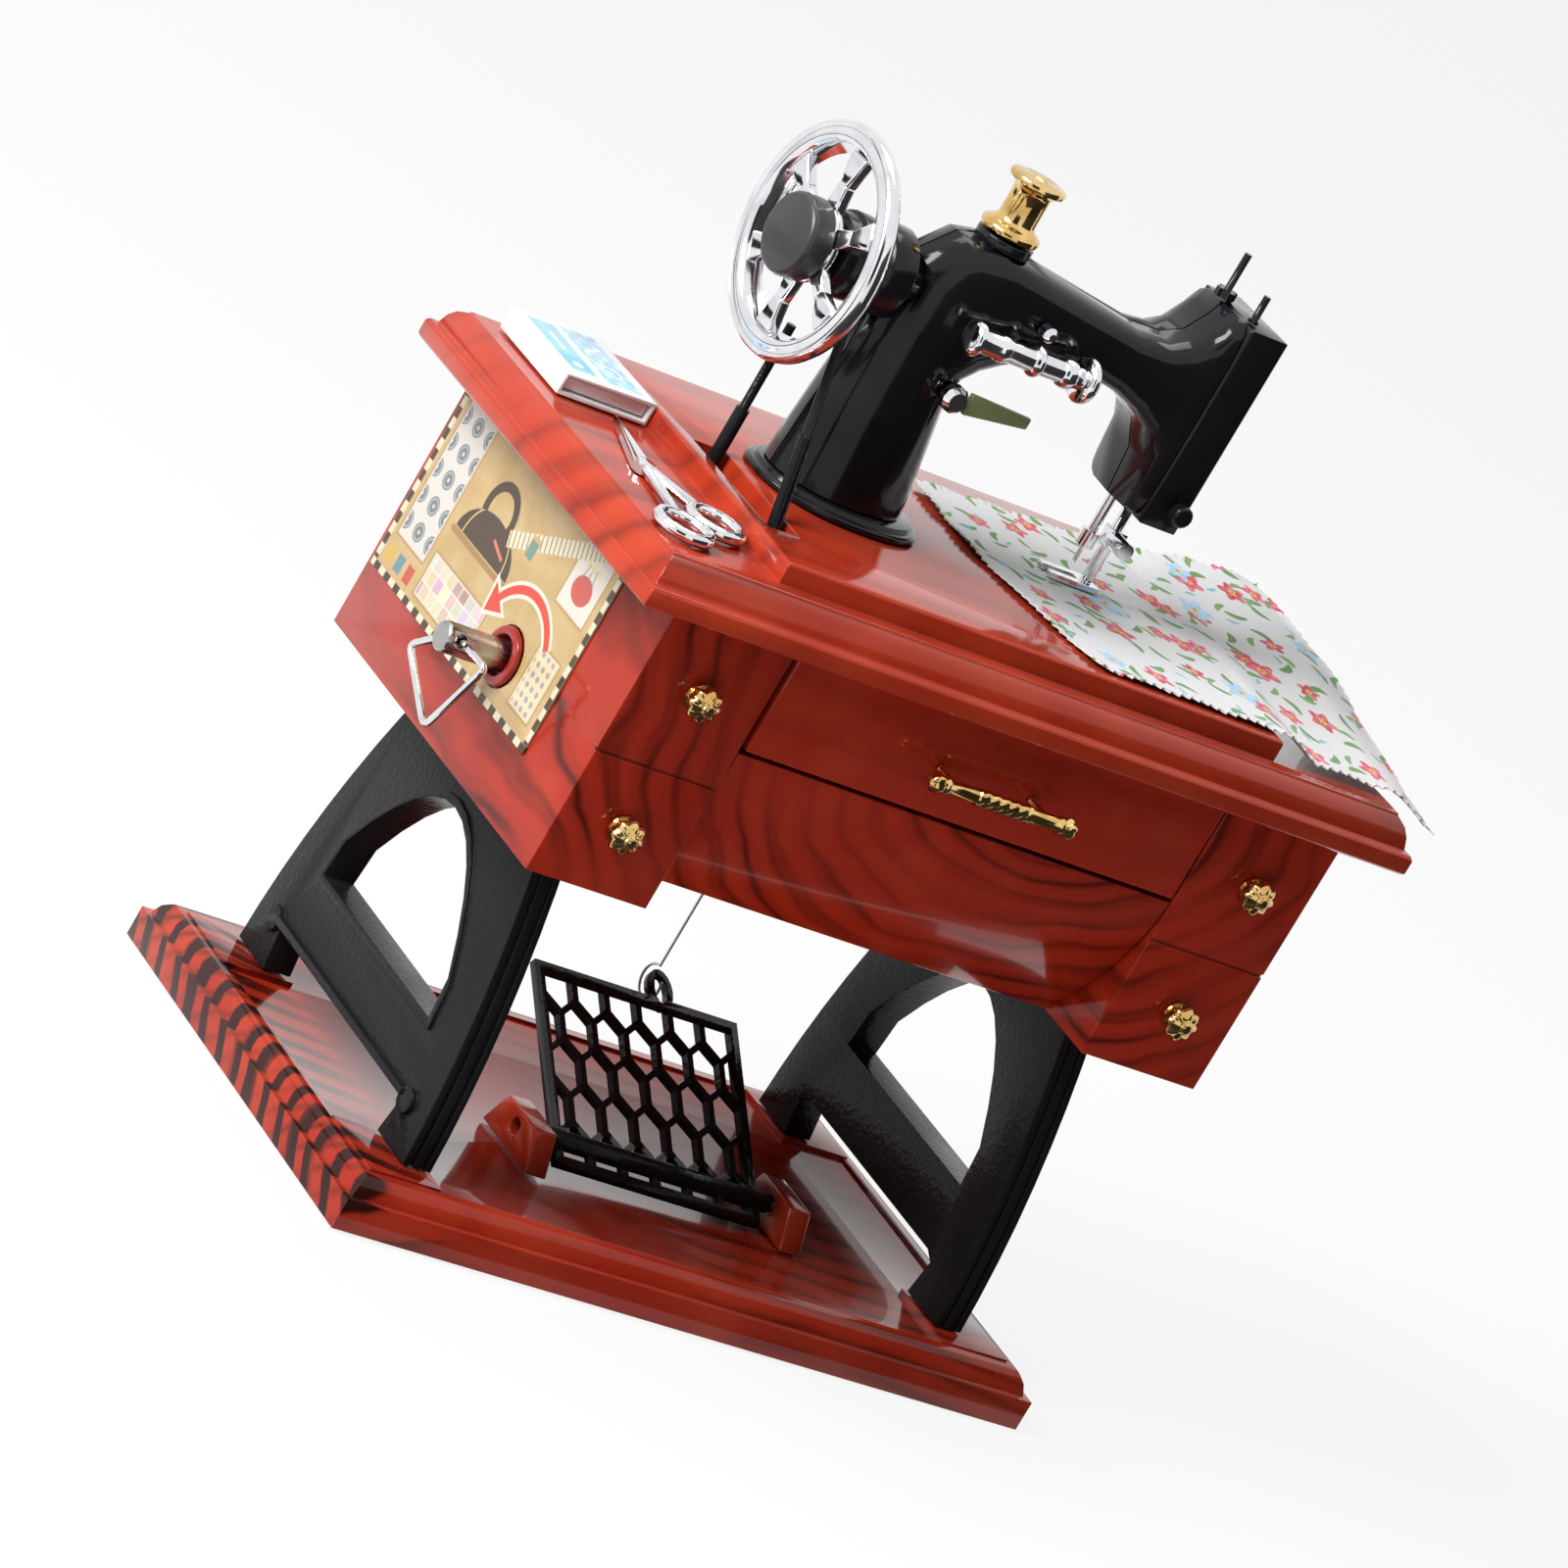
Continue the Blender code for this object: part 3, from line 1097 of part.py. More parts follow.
    bm = bmesh.new()
    gov_y = far_y + cheek + GOVERNOR_GAP + GOVERNOR_RADIUS
    turned(bm, "X", (gov_y, KEY_Z), (
        (GOVERNOR_WORM_RADIUS, face + SEAT), (GOVERNOR_WORM_RADIUS, face + CYLINDER_X_RISE),
        (GOVERNOR_RADIUS, face + CYLINDER_X_RISE), (GOVERNOR_RADIUS, face + CYLINDER_X_RISE * 1.5)), 12)
    as_object("governor", bm, BRASS, (face, gov_y, KEY_Z))


# Tabletop with deck
def build_tabletop():
    bm = bmesh.new()
    rectangles(bm, TOP_LENGTH / 2, TOP_DEPTH / 2, TOP_INSET_X, TOP_INSET_Y, TOP_BOTTOM, TOP_HEIGHT,
               TOP_PROFILE_SHARES)
    top = as_object("tabletop", bm, RED_WOOD)
    deck = bmesh.new()
    rings = []
    for inset, z in ((0, TOP_TOP - OVERRUN / 2), (0, DECK_TOP - DECK_CHAMFER), (DECK_CHAMFER, DECK_TOP)):
        left, right = DECK_LEFT_X + inset, DECK_RIGHT_X - inset
        front, rear = DECK_FRONT_Y + inset, DECK_REAR_Y - inset
        rings.append([(left, front, z), (right, front, z), (right, rear, z), (left, rear, z)])
    loft(deck, rings)
    join(top, deck, "deck")
    slot = bmesh.new()
    box(slot, (SLOT_LEFT_X, SLOT_FRONT_Y, DECK_TOP - SLOT_DEPTH),
        (SLOT_RIGHT_X, SLOT_REAR_Y, DECK_TOP + OVERRUN))
    cut(top, slot, "belt_slot")
    pockets = bmesh.new()
    front, rear = FRONT_Y + CABINET_WALL + POCKET_RIB / 4, REAR_Y - CABINET_WALL - POCKET_RIB / 4
    for left, right in ((LEFT_X + POCKET_RIB, DECK_LEFT_X), (SLOT_RIGHT_X + POCKET_RIB, BAY_RIGHT_X - SEAT),
                        (BAY_RIGHT_X + POCKET_RIB, RIGHT_X - POCKET_RIB)):
        box(pockets, (left, front, TOP_BOTTOM - OVERRUN), (right, rear, TOP_TOP - POCKET_SKIN))
    cut(top, pockets, "pockets")


# Kit on the tabletop
def build_needle_sleeve():
    rear = SLEEVE_FRONT_Y + SLEEVE_LENGTH
    right = DECK_LEFT_X - SEAT
    left = right - SLEEVE_WIDTH
    low = TOP_TOP + SEAT
    high = low + SLEEVE_HEIGHT
    bm = bmesh.new()
    box(bm, (left, SLEEVE_FRONT_Y, low), (right, rear, high))
    sleeve = as_object("needle_sleeve", bm, PAPER_WHITE)
    wall = SLEEVE_WALL
    inside = bmesh.new()
    box(inside, (left + wall, SLEEVE_FRONT_Y - OVERRUN, low + wall), (right - wall, rear - wall, high - wall))
    cut(sleeve, inside, "inside")
    bm = bmesh.new()
    gap = wall + SEAT
    box(bm, (left + gap, SLEEVE_FRONT_Y + wall, low + gap), (right - gap, rear - gap, high - gap))
    as_object("needle_tray", bm, PAPER_WHITE)


def build_scissors():
    low = TOP_TOP + SEAT
    high = low + SCISSORS_THICKNESS
    tip, pivot, *rings = [
        Vector((SCISSORS_X + SCISSORS_LENGTH * u, SCISSORS_Y + SCISSORS_LENGTH * v))
        for u, v in (SCISSORS_TIP_SHARES, SCISSORS_PIVOT_SHARES, *SCISSORS_RING_SHARES)]
    along = (tip - pivot).normalized()
    across = Vector((-along.y, along.x)) * SCISSORS_BLADE_WIDTH / 2
    bm = bmesh.new()
    prism(bm, "Z", [tuple(tip), tuple(pivot + across), tuple(pivot - across)], low, high)
    scissors = as_object("scissors", bm, CHROME)
    centre = low + SCISSORS_RING_WIRE * 0.9
    for side, ring_at in enumerate(rings):
        arm = bmesh.new()
        toward = (pivot - ring_at).normalized()
        tube(arm, [(*(pivot + toward * SCISSORS_PIVOT_RADIUS), centre),
                   (*(ring_at + toward * SCISSORS_RING_RADIUS), centre)], SCISSORS_RING_WIRE * 0.8, 8)
        join(scissors, arm, f"arm_{side}")
        loop = bmesh.new()
        circle = ellipse(tuple(ring_at), SCISSORS_RING_RADIUS, SCISSORS_RING_RADIUS, 14)
        tube(loop, [(*point, centre) for point in circle],
             SCISSORS_RING_WIRE * 0.9, 8, closed=True)
        join(scissors, loop, f"ring_{side}")
    boss = bmesh.new()
    rod(boss, "Z", tuple(pivot), SCISSORS_PIVOT_RADIUS, low, high + SCISSORS_THICKNESS / 2)
    join(scissors, boss, "pivot")


# Machine body as two half shells lofted through stations
# Each station gives its outer point, its inner point, its half depth and how square it is
STATION_SHARES = (
    (0.000, 0.000, 0.409, 0.000, 1.00, 2.2),
    (0.012, 0.210, 0.380, 0.210, 0.91, 2.2),
    (0.027, 0.420, 0.345, 0.420, 0.82, 2.3),
    (0.032, 0.610, 0.357, 0.470, 0.81, 2.4),
    (0.055, 0.790, 0.392, 0.512, 0.80, 2.5),
    (0.140, 0.895, 0.440, 0.552, 0.80, 2.6),
    (0.240, 0.917, 0.500, 0.590, 0.80, 2.6),
    (0.420, 0.885, 0.580, 0.617, 0.78, 2.6),
    (0.600, 0.855, 0.680, 0.628, 0.76, 2.7),
    (0.755, 0.828, 0.770, 0.616, 0.78, 3.0),
    (0.850, 0.833, 0.850, 0.588, 0.82, 3.6),
    (0.915, 0.868, 0.915, 0.545, 0.87, 4.5),
    (0.960, 0.945, 0.958, 0.450, 0.90, 5.5),
    (0.978, 0.990, 0.972, 0.290, 0.92, 6.0),
    (1.000, 1.000, 1.000, 0.280, 0.92, 6.0))


def stations():
    """Outer point, inner point, half depth and squareness of each section of the machine."""
    rows = []
    for outer_x, outer_z, inner_x, inner_z, depth, power in STATION_SHARES:
        outer = Vector((MACHINE_LEFT_X + MACHINE_LENGTH * outer_x, MACHINE_BOTTOM + MACHINE_HEIGHT * outer_z))
        inner = Vector((MACHINE_LEFT_X + MACHINE_LENGTH * inner_x, MACHINE_BOTTOM + MACHINE_HEIGHT * inner_z))
        rows.append((outer, inner, MACHINE_HALF_DEPTH * depth, power))
    return rows


def half_ring(outer, inner, depth, power, margin, side):
    """Half of one section, shrunk by a margin, from its outer to its inner point."""
    middle = (outer + inner) / 2
    reach = (outer - inner) / 2
    reach = reach * (1 - margin / reach.length)
    points = []
    for i in range(SHELL_SIDE_STEPS + 1):
        a = math.pi * i / SHELL_SIDE_STEPS
        c, s = math.cos(a), math.sin(a)
        along = math.copysign(abs(c) ** (2 / power), c)
        y = side * max((depth - margin) * abs(s) ** (2 / power), SHELL_SPLIT / 2)
        spot = middle + reach * along
        points.append(Vector((spot.x, y, spot.y)))
    return points


def build_shell(name, side):
    bm = bmesh.new()
    rings = []
    for outer, inner, depth, power in stations():
        outside = half_ring(outer, inner, depth, power, 0, side)
        inside = half_ring(outer, inner, depth, power, SHELL_WALL, side)
        rings.append(outside + inside[::-1])
    loft(bm, rings)
    shell = as_object(name, bm, BLACK_GLOSS)
    holes = bmesh.new()
    rod(holes, "X", (0, WHEEL_Z), BOSS_SPIGOT_RADIUS + SEAT, MACHINE_LEFT_X - OVERRUN * 2,
        MACHINE_LEFT_X + BOSS_SPIGOT_LENGTH + OVERRUN * 2, 24)
    cut(shell, holes, "boss_hole")
    seat = bmesh.new()
    rod(seat, "Z", (SPOOL_X, 0), SPOOL_SEAT_RADIUS + SEAT, spool_seat_bottom() - SEAT,
        spool_seat_bottom() + SPOOL_SEAT_HEIGHT * 3, 24)
    cut(shell, seat, "spool_seat")
    bar = bmesh.new()
    rod(bar, "Z", (NEEDLE_X, NEEDLE_Y), NEEDLE_BAR_RADIUS + RUN, head_bottom() - OVERRUN,
        head_bottom() + OVERRUN * 2, 12)
    cut(shell, bar, "needle_hole")
    if side < 0:
        spots = bmesh.new()
        for x, z, radius, reach in front_fittings():
            rod(spots, "Y", (x, z), radius + SEAT, -MACHINE_HALF_DEPTH - OVERRUN * 2, reach + OVERRUN, 12)
        cut(shell, spots, "fitting_holes")


def head_bottom():
    return MACHINE_BOTTOM + MACHINE_HEIGHT * STATION_SHARES[-1][3]


def head_top():
    return MACHINE_BOTTOM + MACHINE_HEIGHT


def spool_seat_bottom():
    return MACHINE_BOTTOM + MACHINE_HEIGHT * STATION_SHARES[6][1] - SPOOL_SEAT_SINK


def front_fittings():
    """Place, spigot radius and inner end of each fitting on the front shell."""
    inner = -MACHINE_HALF_DEPTH * STATION_SHARES[4][4] + SHELL_WALL * 1.4
    winder_x = WINDER_LEFT_X + WINDER_LENGTH * WINDER_PROFILE_SHARES[9][1]
    return ((STUD_X, MACHINE_BOTTOM + MACHINE_HEIGHT * STUD_RISE_SHARE, STUD_RADIUS * 0.7, inner),
            (NUT_X, MACHINE_BOTTOM + MACHINE_HEIGHT * NUT_RISE_SHARE, NUT_RADIUS * 0.6, inner + SHELL_WALL),
            (winder_x, MACHINE_BOTTOM + MACHINE_HEIGHT * WINDER_RISE_SHARE, WINDER_RADIUS * 0.5,
             inner + SHELL_WALL))


def build_flange():
    low = DECK_TOP + SEAT
    high = MACHINE_BOTTOM - SEAT
    bm = bmesh.new()
    rings = []
    for inset, z in ((0, low), (0, low + FLANGE_HEIGHT * 0.4), (FLANGE_STEP * 0.5, low + FLANGE_HEIGHT * 0.6),
                     (FLANGE_STEP, low + FLANGE_HEIGHT * 0.6), (FLANGE_STEP * 1.3, high)):
        points = ellipse((FLANGE_CENTRE_X, 0), FLANGE_HALF_LENGTH - inset, FLANGE_HALF_DEPTH - inset, 40, 2.3)
        rings.append([Vector((x, y, z)) for x, y in points])
    loft(bm, rings)
    as_object("column_flange", bm, BLACK_GLOSS)


def build_face_cover():
    left = MACHINE_RIGHT_X + SEAT
    right = left + FACE_COVER_LENGTH
    half = MACHINE_HALF_DEPTH * STATION_SHARES[-1][4]
    low = head_bottom()
    high = MACHINE_BOTTOM + MACHINE_HEIGHT * FACE_COVER_TOP_SHARE
    bm = bmesh.new()
    edge = FACE_COVER_CHAMFER
    rings = []
    for inset, x in ((edge, left), (0, left + edge), (0, right - edge), (edge, right)):
        y = half - inset
        rings.append([place("X", u, w, x) for u, w in ((-y, low + inset), (y, low + inset), (y, high - inset),
                                                       (-y, high - inset))])
    loft(bm, rings)
    cover = as_object("face_cover", bm, BLACK_GLOSS)
    wall = FACE_COVER_WALL
    inside = bmesh.new()
    box(inside, (left - OVERRUN, -half + wall, low + wall), (right - wall, half - wall, high - wall))
    cut(cover, inside, "inside")
    holes = bmesh.new()
    rod(holes, "Z", (NEEDLE_X, NEEDLE_Y), NEEDLE_BAR_RADIUS + RUN, low - OVERRUN, low + wall + OVERRUN)
    cut(cover, holes, "needle_hole")
    more = bmesh.new()
    rod(more, "Z", (FOOT_BAR_X, NEEDLE_Y), FOOT_BAR_RADIUS + SEAT, low - OVERRUN, low + wall + OVERRUN)
    cut(cover, more, "foot_hole")

    bm = bmesh.new()
    screw_x = left + FACE_COVER_LENGTH * 0.62
    screw_z = low + FACE_SCREW_RISE + FACE_SCREW_RADIUS / 2
    face = -half - SEAT
    turned(bm, "Y", (screw_x, screw_z), (
        (FACE_SCREW_RADIUS * 0.6, face), (FACE_SCREW_RADIUS * 0.6, face - FACE_SCREW_HEIGHT * 0.25),
        (FACE_SCREW_RADIUS, face - FACE_SCREW_HEIGHT * 0.3),
        (FACE_SCREW_RADIUS, face - FACE_SCREW_HEIGHT * 0.9),
        (FACE_SCREW_RADIUS * 0.8, face - FACE_SCREW_HEIGHT)), 14)
    as_object("face_screw", bm, BLACK_GLOSS)


def build_thread_pins():
    x = MACHINE_RIGHT_X - PIN_CROSS_LENGTH / 5
    low = head_top() + SEAT
    bm = bmesh.new()
    arm = PIN_CROSS_LENGTH / 2
    thick = PIN_RADIUS * 0.9
    cross = [(-arm, -thick), (-thick, -thick), (-thick, -arm), (thick, -arm), (thick, -thick), (arm, -thick),
             (arm, thick), (thick, thick), (thick, arm), (-thick, arm), (-thick, thick), (-arm, thick)]
    prism(bm, "Z", [(x + u - arm / 2, v) for u, v in cross], low, low + PIN_CROSS_HEIGHT)
    pin = as_object("rear_thread_pin", bm, BLACK_GLOSS)
    stem = bmesh.new()
    rod(stem, "Z", (x - arm / 2, 0), PIN_RADIUS, low + PIN_CROSS_HEIGHT / 2, low + PIN_REAR_HEIGHT, 10)
    join(pin, stem, "stem")
    half = MACHINE_HALF_DEPTH * STATION_SHARES[-1][4]
    low = MACHINE_BOTTOM + MACHINE_HEIGHT * FACE_COVER_TOP_SHARE + SEAT
    bm = bmesh.new()
    turned(bm, "Z", (MACHINE_RIGHT_X + FACE_COVER_LENGTH / 4, -half * 0.62), (
        (PIN_RADIUS * 1.5, low), (PIN_RADIUS * 1.5, low + PIN_RADIUS), (PIN_RADIUS, low + PIN_RADIUS),
        (PIN_RADIUS, low + PIN_FRONT_HEIGHT)), 10)
    as_object("front_thread_pin", bm, BLACK_GLOSS)


# Handwheel, boss and shaft
def build_wheel():
    front = WHEEL_FRONT_X
    back = front + WHEEL_DEPTH
    centre = (0, WHEEL_Z)
    bm = bmesh.new()
    turned(bm, "X", centre, (
        (WHEEL_INNER_RADIUS, front + WHEEL_DEPTH * 0.12), (WHEEL_RADIUS * 0.93, front),
        (WHEEL_RADIUS, front + WHEEL_DEPTH * 0.22), (WHEEL_RADIUS * 0.97, front + WHEEL_DEPTH * 0.5),
        (WHEEL_RIM_BACK_RADIUS, back), (WHEEL_INNER_RADIUS, back)), WHEEL_STEPS, closed=True)
    wheel = as_object("handwheel", bm, CHROME, (front, *centre))
    spokes = bmesh.new()
    low, high = front + WHEEL_DEPTH * 0.3, front + WHEEL_DEPTH * 0.3 + WHEEL_SPOKE_DEPTH
    inner, outer = WHEEL_HUB_RADIUS * 0.8, WHEEL_INNER_RADIUS * 1.04
    for i in range(WHEEL_SPOKES):
        turn = Matrix.Rotation(2 * math.pi * (i + 0.5) / WHEEL_SPOKES, 2)
        outline = [(inner, -WHEEL_SPOKE_WIDTH / 2), (outer * 0.8, -WHEEL_SPOKE_WIDTH / 2),
                   (outer, -WHEEL_SPOKE_FLARE / 2), (outer, WHEEL_SPOKE_FLARE / 2),
                   (outer * 0.8, WHEEL_SPOKE_WIDTH / 2), (inner, WHEEL_SPOKE_WIDTH / 2)]
        spun = [turn @ Vector(point) for point in outline]
        prism(spokes, "X", [(p.x, p.y + WHEEL_Z) for p in spun], low, high)
    join(wheel, spokes, "spokes")
    hub = bmesh.new()
    rod(hub, "X", centre, WHEEL_HUB_RADIUS, front + WHEEL_DEPTH * 0.2, back, 24)
    join(wheel, hub, "hub")
    bore = bmesh.new()
    rod(bore, "X", centre, SHAFT_RADIUS + SEAT, front - OVERRUN, back + OVERRUN, 16)
    cut(wheel, bore, "bore")

    bm = bmesh.new()
    seat = front + WHEEL_DEPTH * 0.2 - SEAT
    turned(bm, "X", centre, (
        (HUB_CAP_RADIUS, seat), (HUB_CAP_RADIUS, seat - HUB_CAP_HEIGHT * 0.85),
        (HUB_CAP_RADIUS * 0.93, seat - HUB_CAP_HEIGHT)), 24)
    cap = as_object("wheel_hub_cap", bm, BLACK_CAST, (seat, *centre))
    socket = bmesh.new()
    rod(socket, "X", centre, SHAFT_RADIUS + SEAT, seat - HUB_CAP_HEIGHT * 0.6, seat + OVERRUN, 16)
    cut(cap, socket, "socket")

    crank = crank_face()
    bm = bmesh.new()
    turned(bm, "X", centre, (
        (SHAFT_RADIUS, seat - HUB_CAP_HEIGHT * 0.5), (SHAFT_RADIUS, crank - CRANK_THICKNESS),
        (CRANK_RADIUS, crank - CRANK_THICKNESS), (CRANK_RADIUS, crank)), 16)
    shaft = as_object("wheel_shaft", bm, STEEL, (crank, *centre))
    pin = bmesh.new()
    rod(pin, "X", (CRANK_THROW, WHEEL_Z), CRANK_PIN_RADIUS, crank - CRANK_THICKNESS / 2,
        yoke_left() - SEAT, 8)
    join(shaft, pin, "crank_pin")


def yoke_left():
    return NEEDLE_X - NEEDLE_BAR_RADIUS


def crank_face():
    return yoke_left() - CRANK_PIN_RADIUS * 3


def build_boss():
    outer = WHEEL_FRONT_X + WHEEL_DEPTH + RUN
    seat = boss_seat()
    centre = (0, WHEEL_Z)
    bore = SHAFT_RADIUS + RUN
    span = seat - outer
    groove = BOSS_RADIUS - BOSS_GROOVE
    profile = [(bore, outer), (groove, outer), (groove, outer + span * 0.18),
               (BOSS_RADIUS * 0.95, outer + span * 0.2),
               (BOSS_RADIUS * 0.95, outer + span * 0.45), (groove, outer + span * 0.48),
               (groove, outer + span * 0.58), (BOSS_RADIUS, outer + span * 0.62), (BOSS_RADIUS, seat),
               (BOSS_SPIGOT_RADIUS, seat), (BOSS_SPIGOT_RADIUS, seat + BOSS_SPIGOT_LENGTH + OVERRUN / 2),
               (bore, seat + BOSS_SPIGOT_LENGTH + OVERRUN / 2)]
    bm = bmesh.new()
    turned(bm, "X", centre, profile, 24, closed=True)
    as_object("wheel_boss", bm, BLACK_GLOSS)


def boss_seat():
    """The boss's shoulder stops just short of the machine's left edge."""
    reach = min(row[0].x for row in stations() if abs(row[0].y - WHEEL_Z) < BOSS_RADIUS * 1.6)
    return reach - SEAT


def build_rods():
    foot = DECK_TOP - SLOT_DEPTH + SEAT
    for name, start, end in (
            ("rear_belt_rod", (ROD_X, ROD_REAR_Y, foot), (ROD_X, ROD_REAR_Y, foot + ROD_REAR_HEIGHT)),
            ("front_belt_rod", (ROD_X, ROD_FRONT_Y, foot),
             (ROD_X, ROD_FRONT_TOP_Y, foot + ROD_FRONT_HEIGHT))):
        bm = bmesh.new()
        low, high = Vector(start), Vector(end)
        share = ROD_FOOT_SHARE
        rings = []
        for t, radius in ((0, ROD_FOOT_RADIUS), (share, ROD_FOOT_RADIUS), (share, ROD_RADIUS),
                          (1, ROD_RADIUS)):
            centre = low.lerp(high, t)
            rings.append(ring_points("Z", (centre.x, centre.y), radius, centre.z, 12))
        loft(bm, rings)
        as_object(name, bm, BLACK_CAST)


# Fittings on the arm
def build_spool():
    low = spool_seat_bottom()
    bm = bmesh.new()
    high = low + SPOOL_SEAT_HEIGHT
    rod(bm, "Z", (SPOOL_X, 0), SPOOL_SEAT_RADIUS, low, high, 24)
    as_object("spool_seat", bm, BLACK_GLOSS)
    bm = bmesh.new()
    turned(bm, "Z", (SPOOL_X, 0), shaped(SPOOL_PROFILE_SHARES, SPOOL_RADIUS, high + SEAT, SPOOL_HEIGHT), 18)
    as_object("thread_spool", bm, GOLD)


def build_winder():
    z = MACHINE_BOTTOM + MACHINE_HEIGHT * WINDER_RISE_SHARE
    bm = bmesh.new()
    profile = shaped(WINDER_PROFILE_SHARES, WINDER_DISC_RADIUS, WINDER_LEFT_X, WINDER_LENGTH)
    turned(bm, "X", (WINDER_Y, z), profile, 12)
    winder = as_object("bobbin_winder", bm, CHROME)
    stud, nut, stub = front_fittings()
    peg = bmesh.new()
    rod(peg, "Y", (stub[0], z), stub[2], WINDER_Y, stub[3], 10)
    join(winder, peg, "peg")

    face = -MACHINE_HALF_DEPTH * STATION_SHARES[4][4] - SEAT * 2
    bm = bmesh.new()
    turned(bm, "Y", stud[:2], (
        (stud[2], stud[3]), (stud[2], face), (STUD_RADIUS, face), (STUD_RADIUS, face - STUD_REACH * 0.7),
        (STUD_RADIUS * 0.5, face - STUD_REACH)), 12)
    as_object("tension_stud", bm, CHROME)
    bm = bmesh.new()
    turned(bm, "Y", nut[:2], (
        (nut[2], nut[3]), (nut[2], face), (NUT_RADIUS * 0.8, face), (NUT_RADIUS, face - NUT_HEIGHT * 0.3),
        (NUT_RADIUS, face - NUT_HEIGHT * 0.7), (NUT_RADIUS * 0.7, face - NUT_HEIGHT)), 12)
    as_object("stitch_nut", bm, CHROME)
    left = nut[0] + NUT_RADIUS + SEAT
    middle = face - NUT_HEIGHT / 2
    bm = bmesh.new()
    tip = left + LEVER_LENGTH
    prism(bm, "Y", [(left, nut[1] - LEVER_ROOT_WIDTH / 2), (tip, nut[1] - LEVER_TIP_WIDTH / 4),
                    (tip, nut[1] + LEVER_TIP_WIDTH * 0.75), (left, nut[1] + LEVER_ROOT_WIDTH / 2)],
          middle - LEVER_THICKNESS / 2, middle + LEVER_THICKNESS / 2)
    as_object("stitch_lever", bm, OLIVE)


# Needle bar and presser foot
def build_needle_bar():
    low = head_bottom() - NEEDLE_BAR_DROP
    yoke = WHEEL_Z
    bm = bmesh.new()
    turned(bm, "Z", (0, 0), (
        (NEEDLE_RADIUS * 0.3, low - NEEDLE_CLAMP_HEIGHT - NEEDLE_LENGTH),
        (NEEDLE_RADIUS, low - NEEDLE_CLAMP_HEIGHT - NEEDLE_LENGTH * 0.75),
        (NEEDLE_RADIUS, low - NEEDLE_CLAMP_HEIGHT),
        (NEEDLE_CLAMP_RADIUS, low - NEEDLE_CLAMP_HEIGHT), (NEEDLE_CLAMP_RADIUS, low),
        (NEEDLE_BAR_RADIUS, low),
        (NEEDLE_BAR_RADIUS, yoke)), 12)
    bmesh.ops.translate(bm, verts=bm.verts, vec=(NEEDLE_X, NEEDLE_Y, 0))
    bar = as_object("needle_bar", bm, CHROME, (NEEDLE_X, NEEDLE_Y, head_bottom()))
    block = bmesh.new()
    box(block, (yoke_left(), NEEDLE_Y - YOKE_LENGTH / 2, yoke - YOKE_HEIGHT / 2),
        (NEEDLE_X + NEEDLE_BAR_RADIUS, NEEDLE_Y + YOKE_LENGTH / 2, yoke + YOKE_HEIGHT / 2))
    join(bar, block, "yoke")


def build_presser_foot():
    sole = DECK_TOP + SEAT + CLOTH_THICKNESS + SEAT
    top = head_bottom() + FACE_COVER_WALL * 3
    x = FOOT_BAR_X
    bm = bmesh.new()
    rod(bm, "Z", (x, NEEDLE_Y), FOOT_BAR_RADIUS, sole + FOOT_SOLE_THICKNESS / 2, top, 12)
    foot = as_object("presser_foot", bm, CHROME)
    half, slot = FOOT_SOLE_WIDTH / 2, FOOT_SLOT_WIDTH / 2
    toe = x - FOOT_SOLE_LENGTH
    heel = x + FOOT_BAR_RADIUS * 1.4
    outline = [(heel, -half), (heel, half), (toe, half), (toe, slot),
               (x - FOOT_BAR_RADIUS * 2, slot), (x - FOOT_BAR_RADIUS * 2, -slot), (toe, -slot), (toe, -half)]
    soles = bmesh.new()
    prism(soles, "Z", [(u, v + NEEDLE_Y) for u, v in outline], sole, sole + FOOT_SOLE_THICKNESS)
    join(foot, soles, "sole")
    clamp = bmesh.new()
    middle = head_bottom() - NEEDLE_BAR_DROP
    side = FOOT_BLOCK_SIDE / 2
    box(clamp, (x - side * 0.7, NEEDLE_Y - side, middle - side), (x + side, NEEDLE_Y + side, middle + side))
    join(foot, clamp, "clamp")
    knob = bmesh.new()
    rod(knob, "Y", (x, middle), FOOT_KNOB_RADIUS, NEEDLE_Y - side - FOOT_KNOB_REACH, NEEDLE_Y - side / 2, 12)
    join(foot, knob, "knob")


# Cloth laid over the deck and off the table's front right corner
def cloth_height(x, y):
    """Height of the underside of the cloth."""
    high = DECK_TOP + SEAT
    low = TOP_TOP + SEAT * 2
    edge_x = TOP_LENGTH / 2 - TOP_INSET_X
    off_deck = min(max((x - DECK_RIGHT_X - SEAT * 2) / (edge_x - DECK_RIGHT_X), 0), 1)
    front = min(max((CLOTH_REAR_LEFT_Y - y) / (CLOTH_REAR_LEFT_Y - CLOTH_FRONT_Y), 0), 1)
    step = min(off_deck * 3, 1)
    z = high + (low - high) * step * front
    beyond = max((x - edge_x - SEAT) / (CLOTH_RIGHT_X - edge_x), 0)
    z -= CLOTH_DROOP * beyond ** 1.5 * front
    z += CLOTH_LIFT * (1 - front) * off_deck
    return z


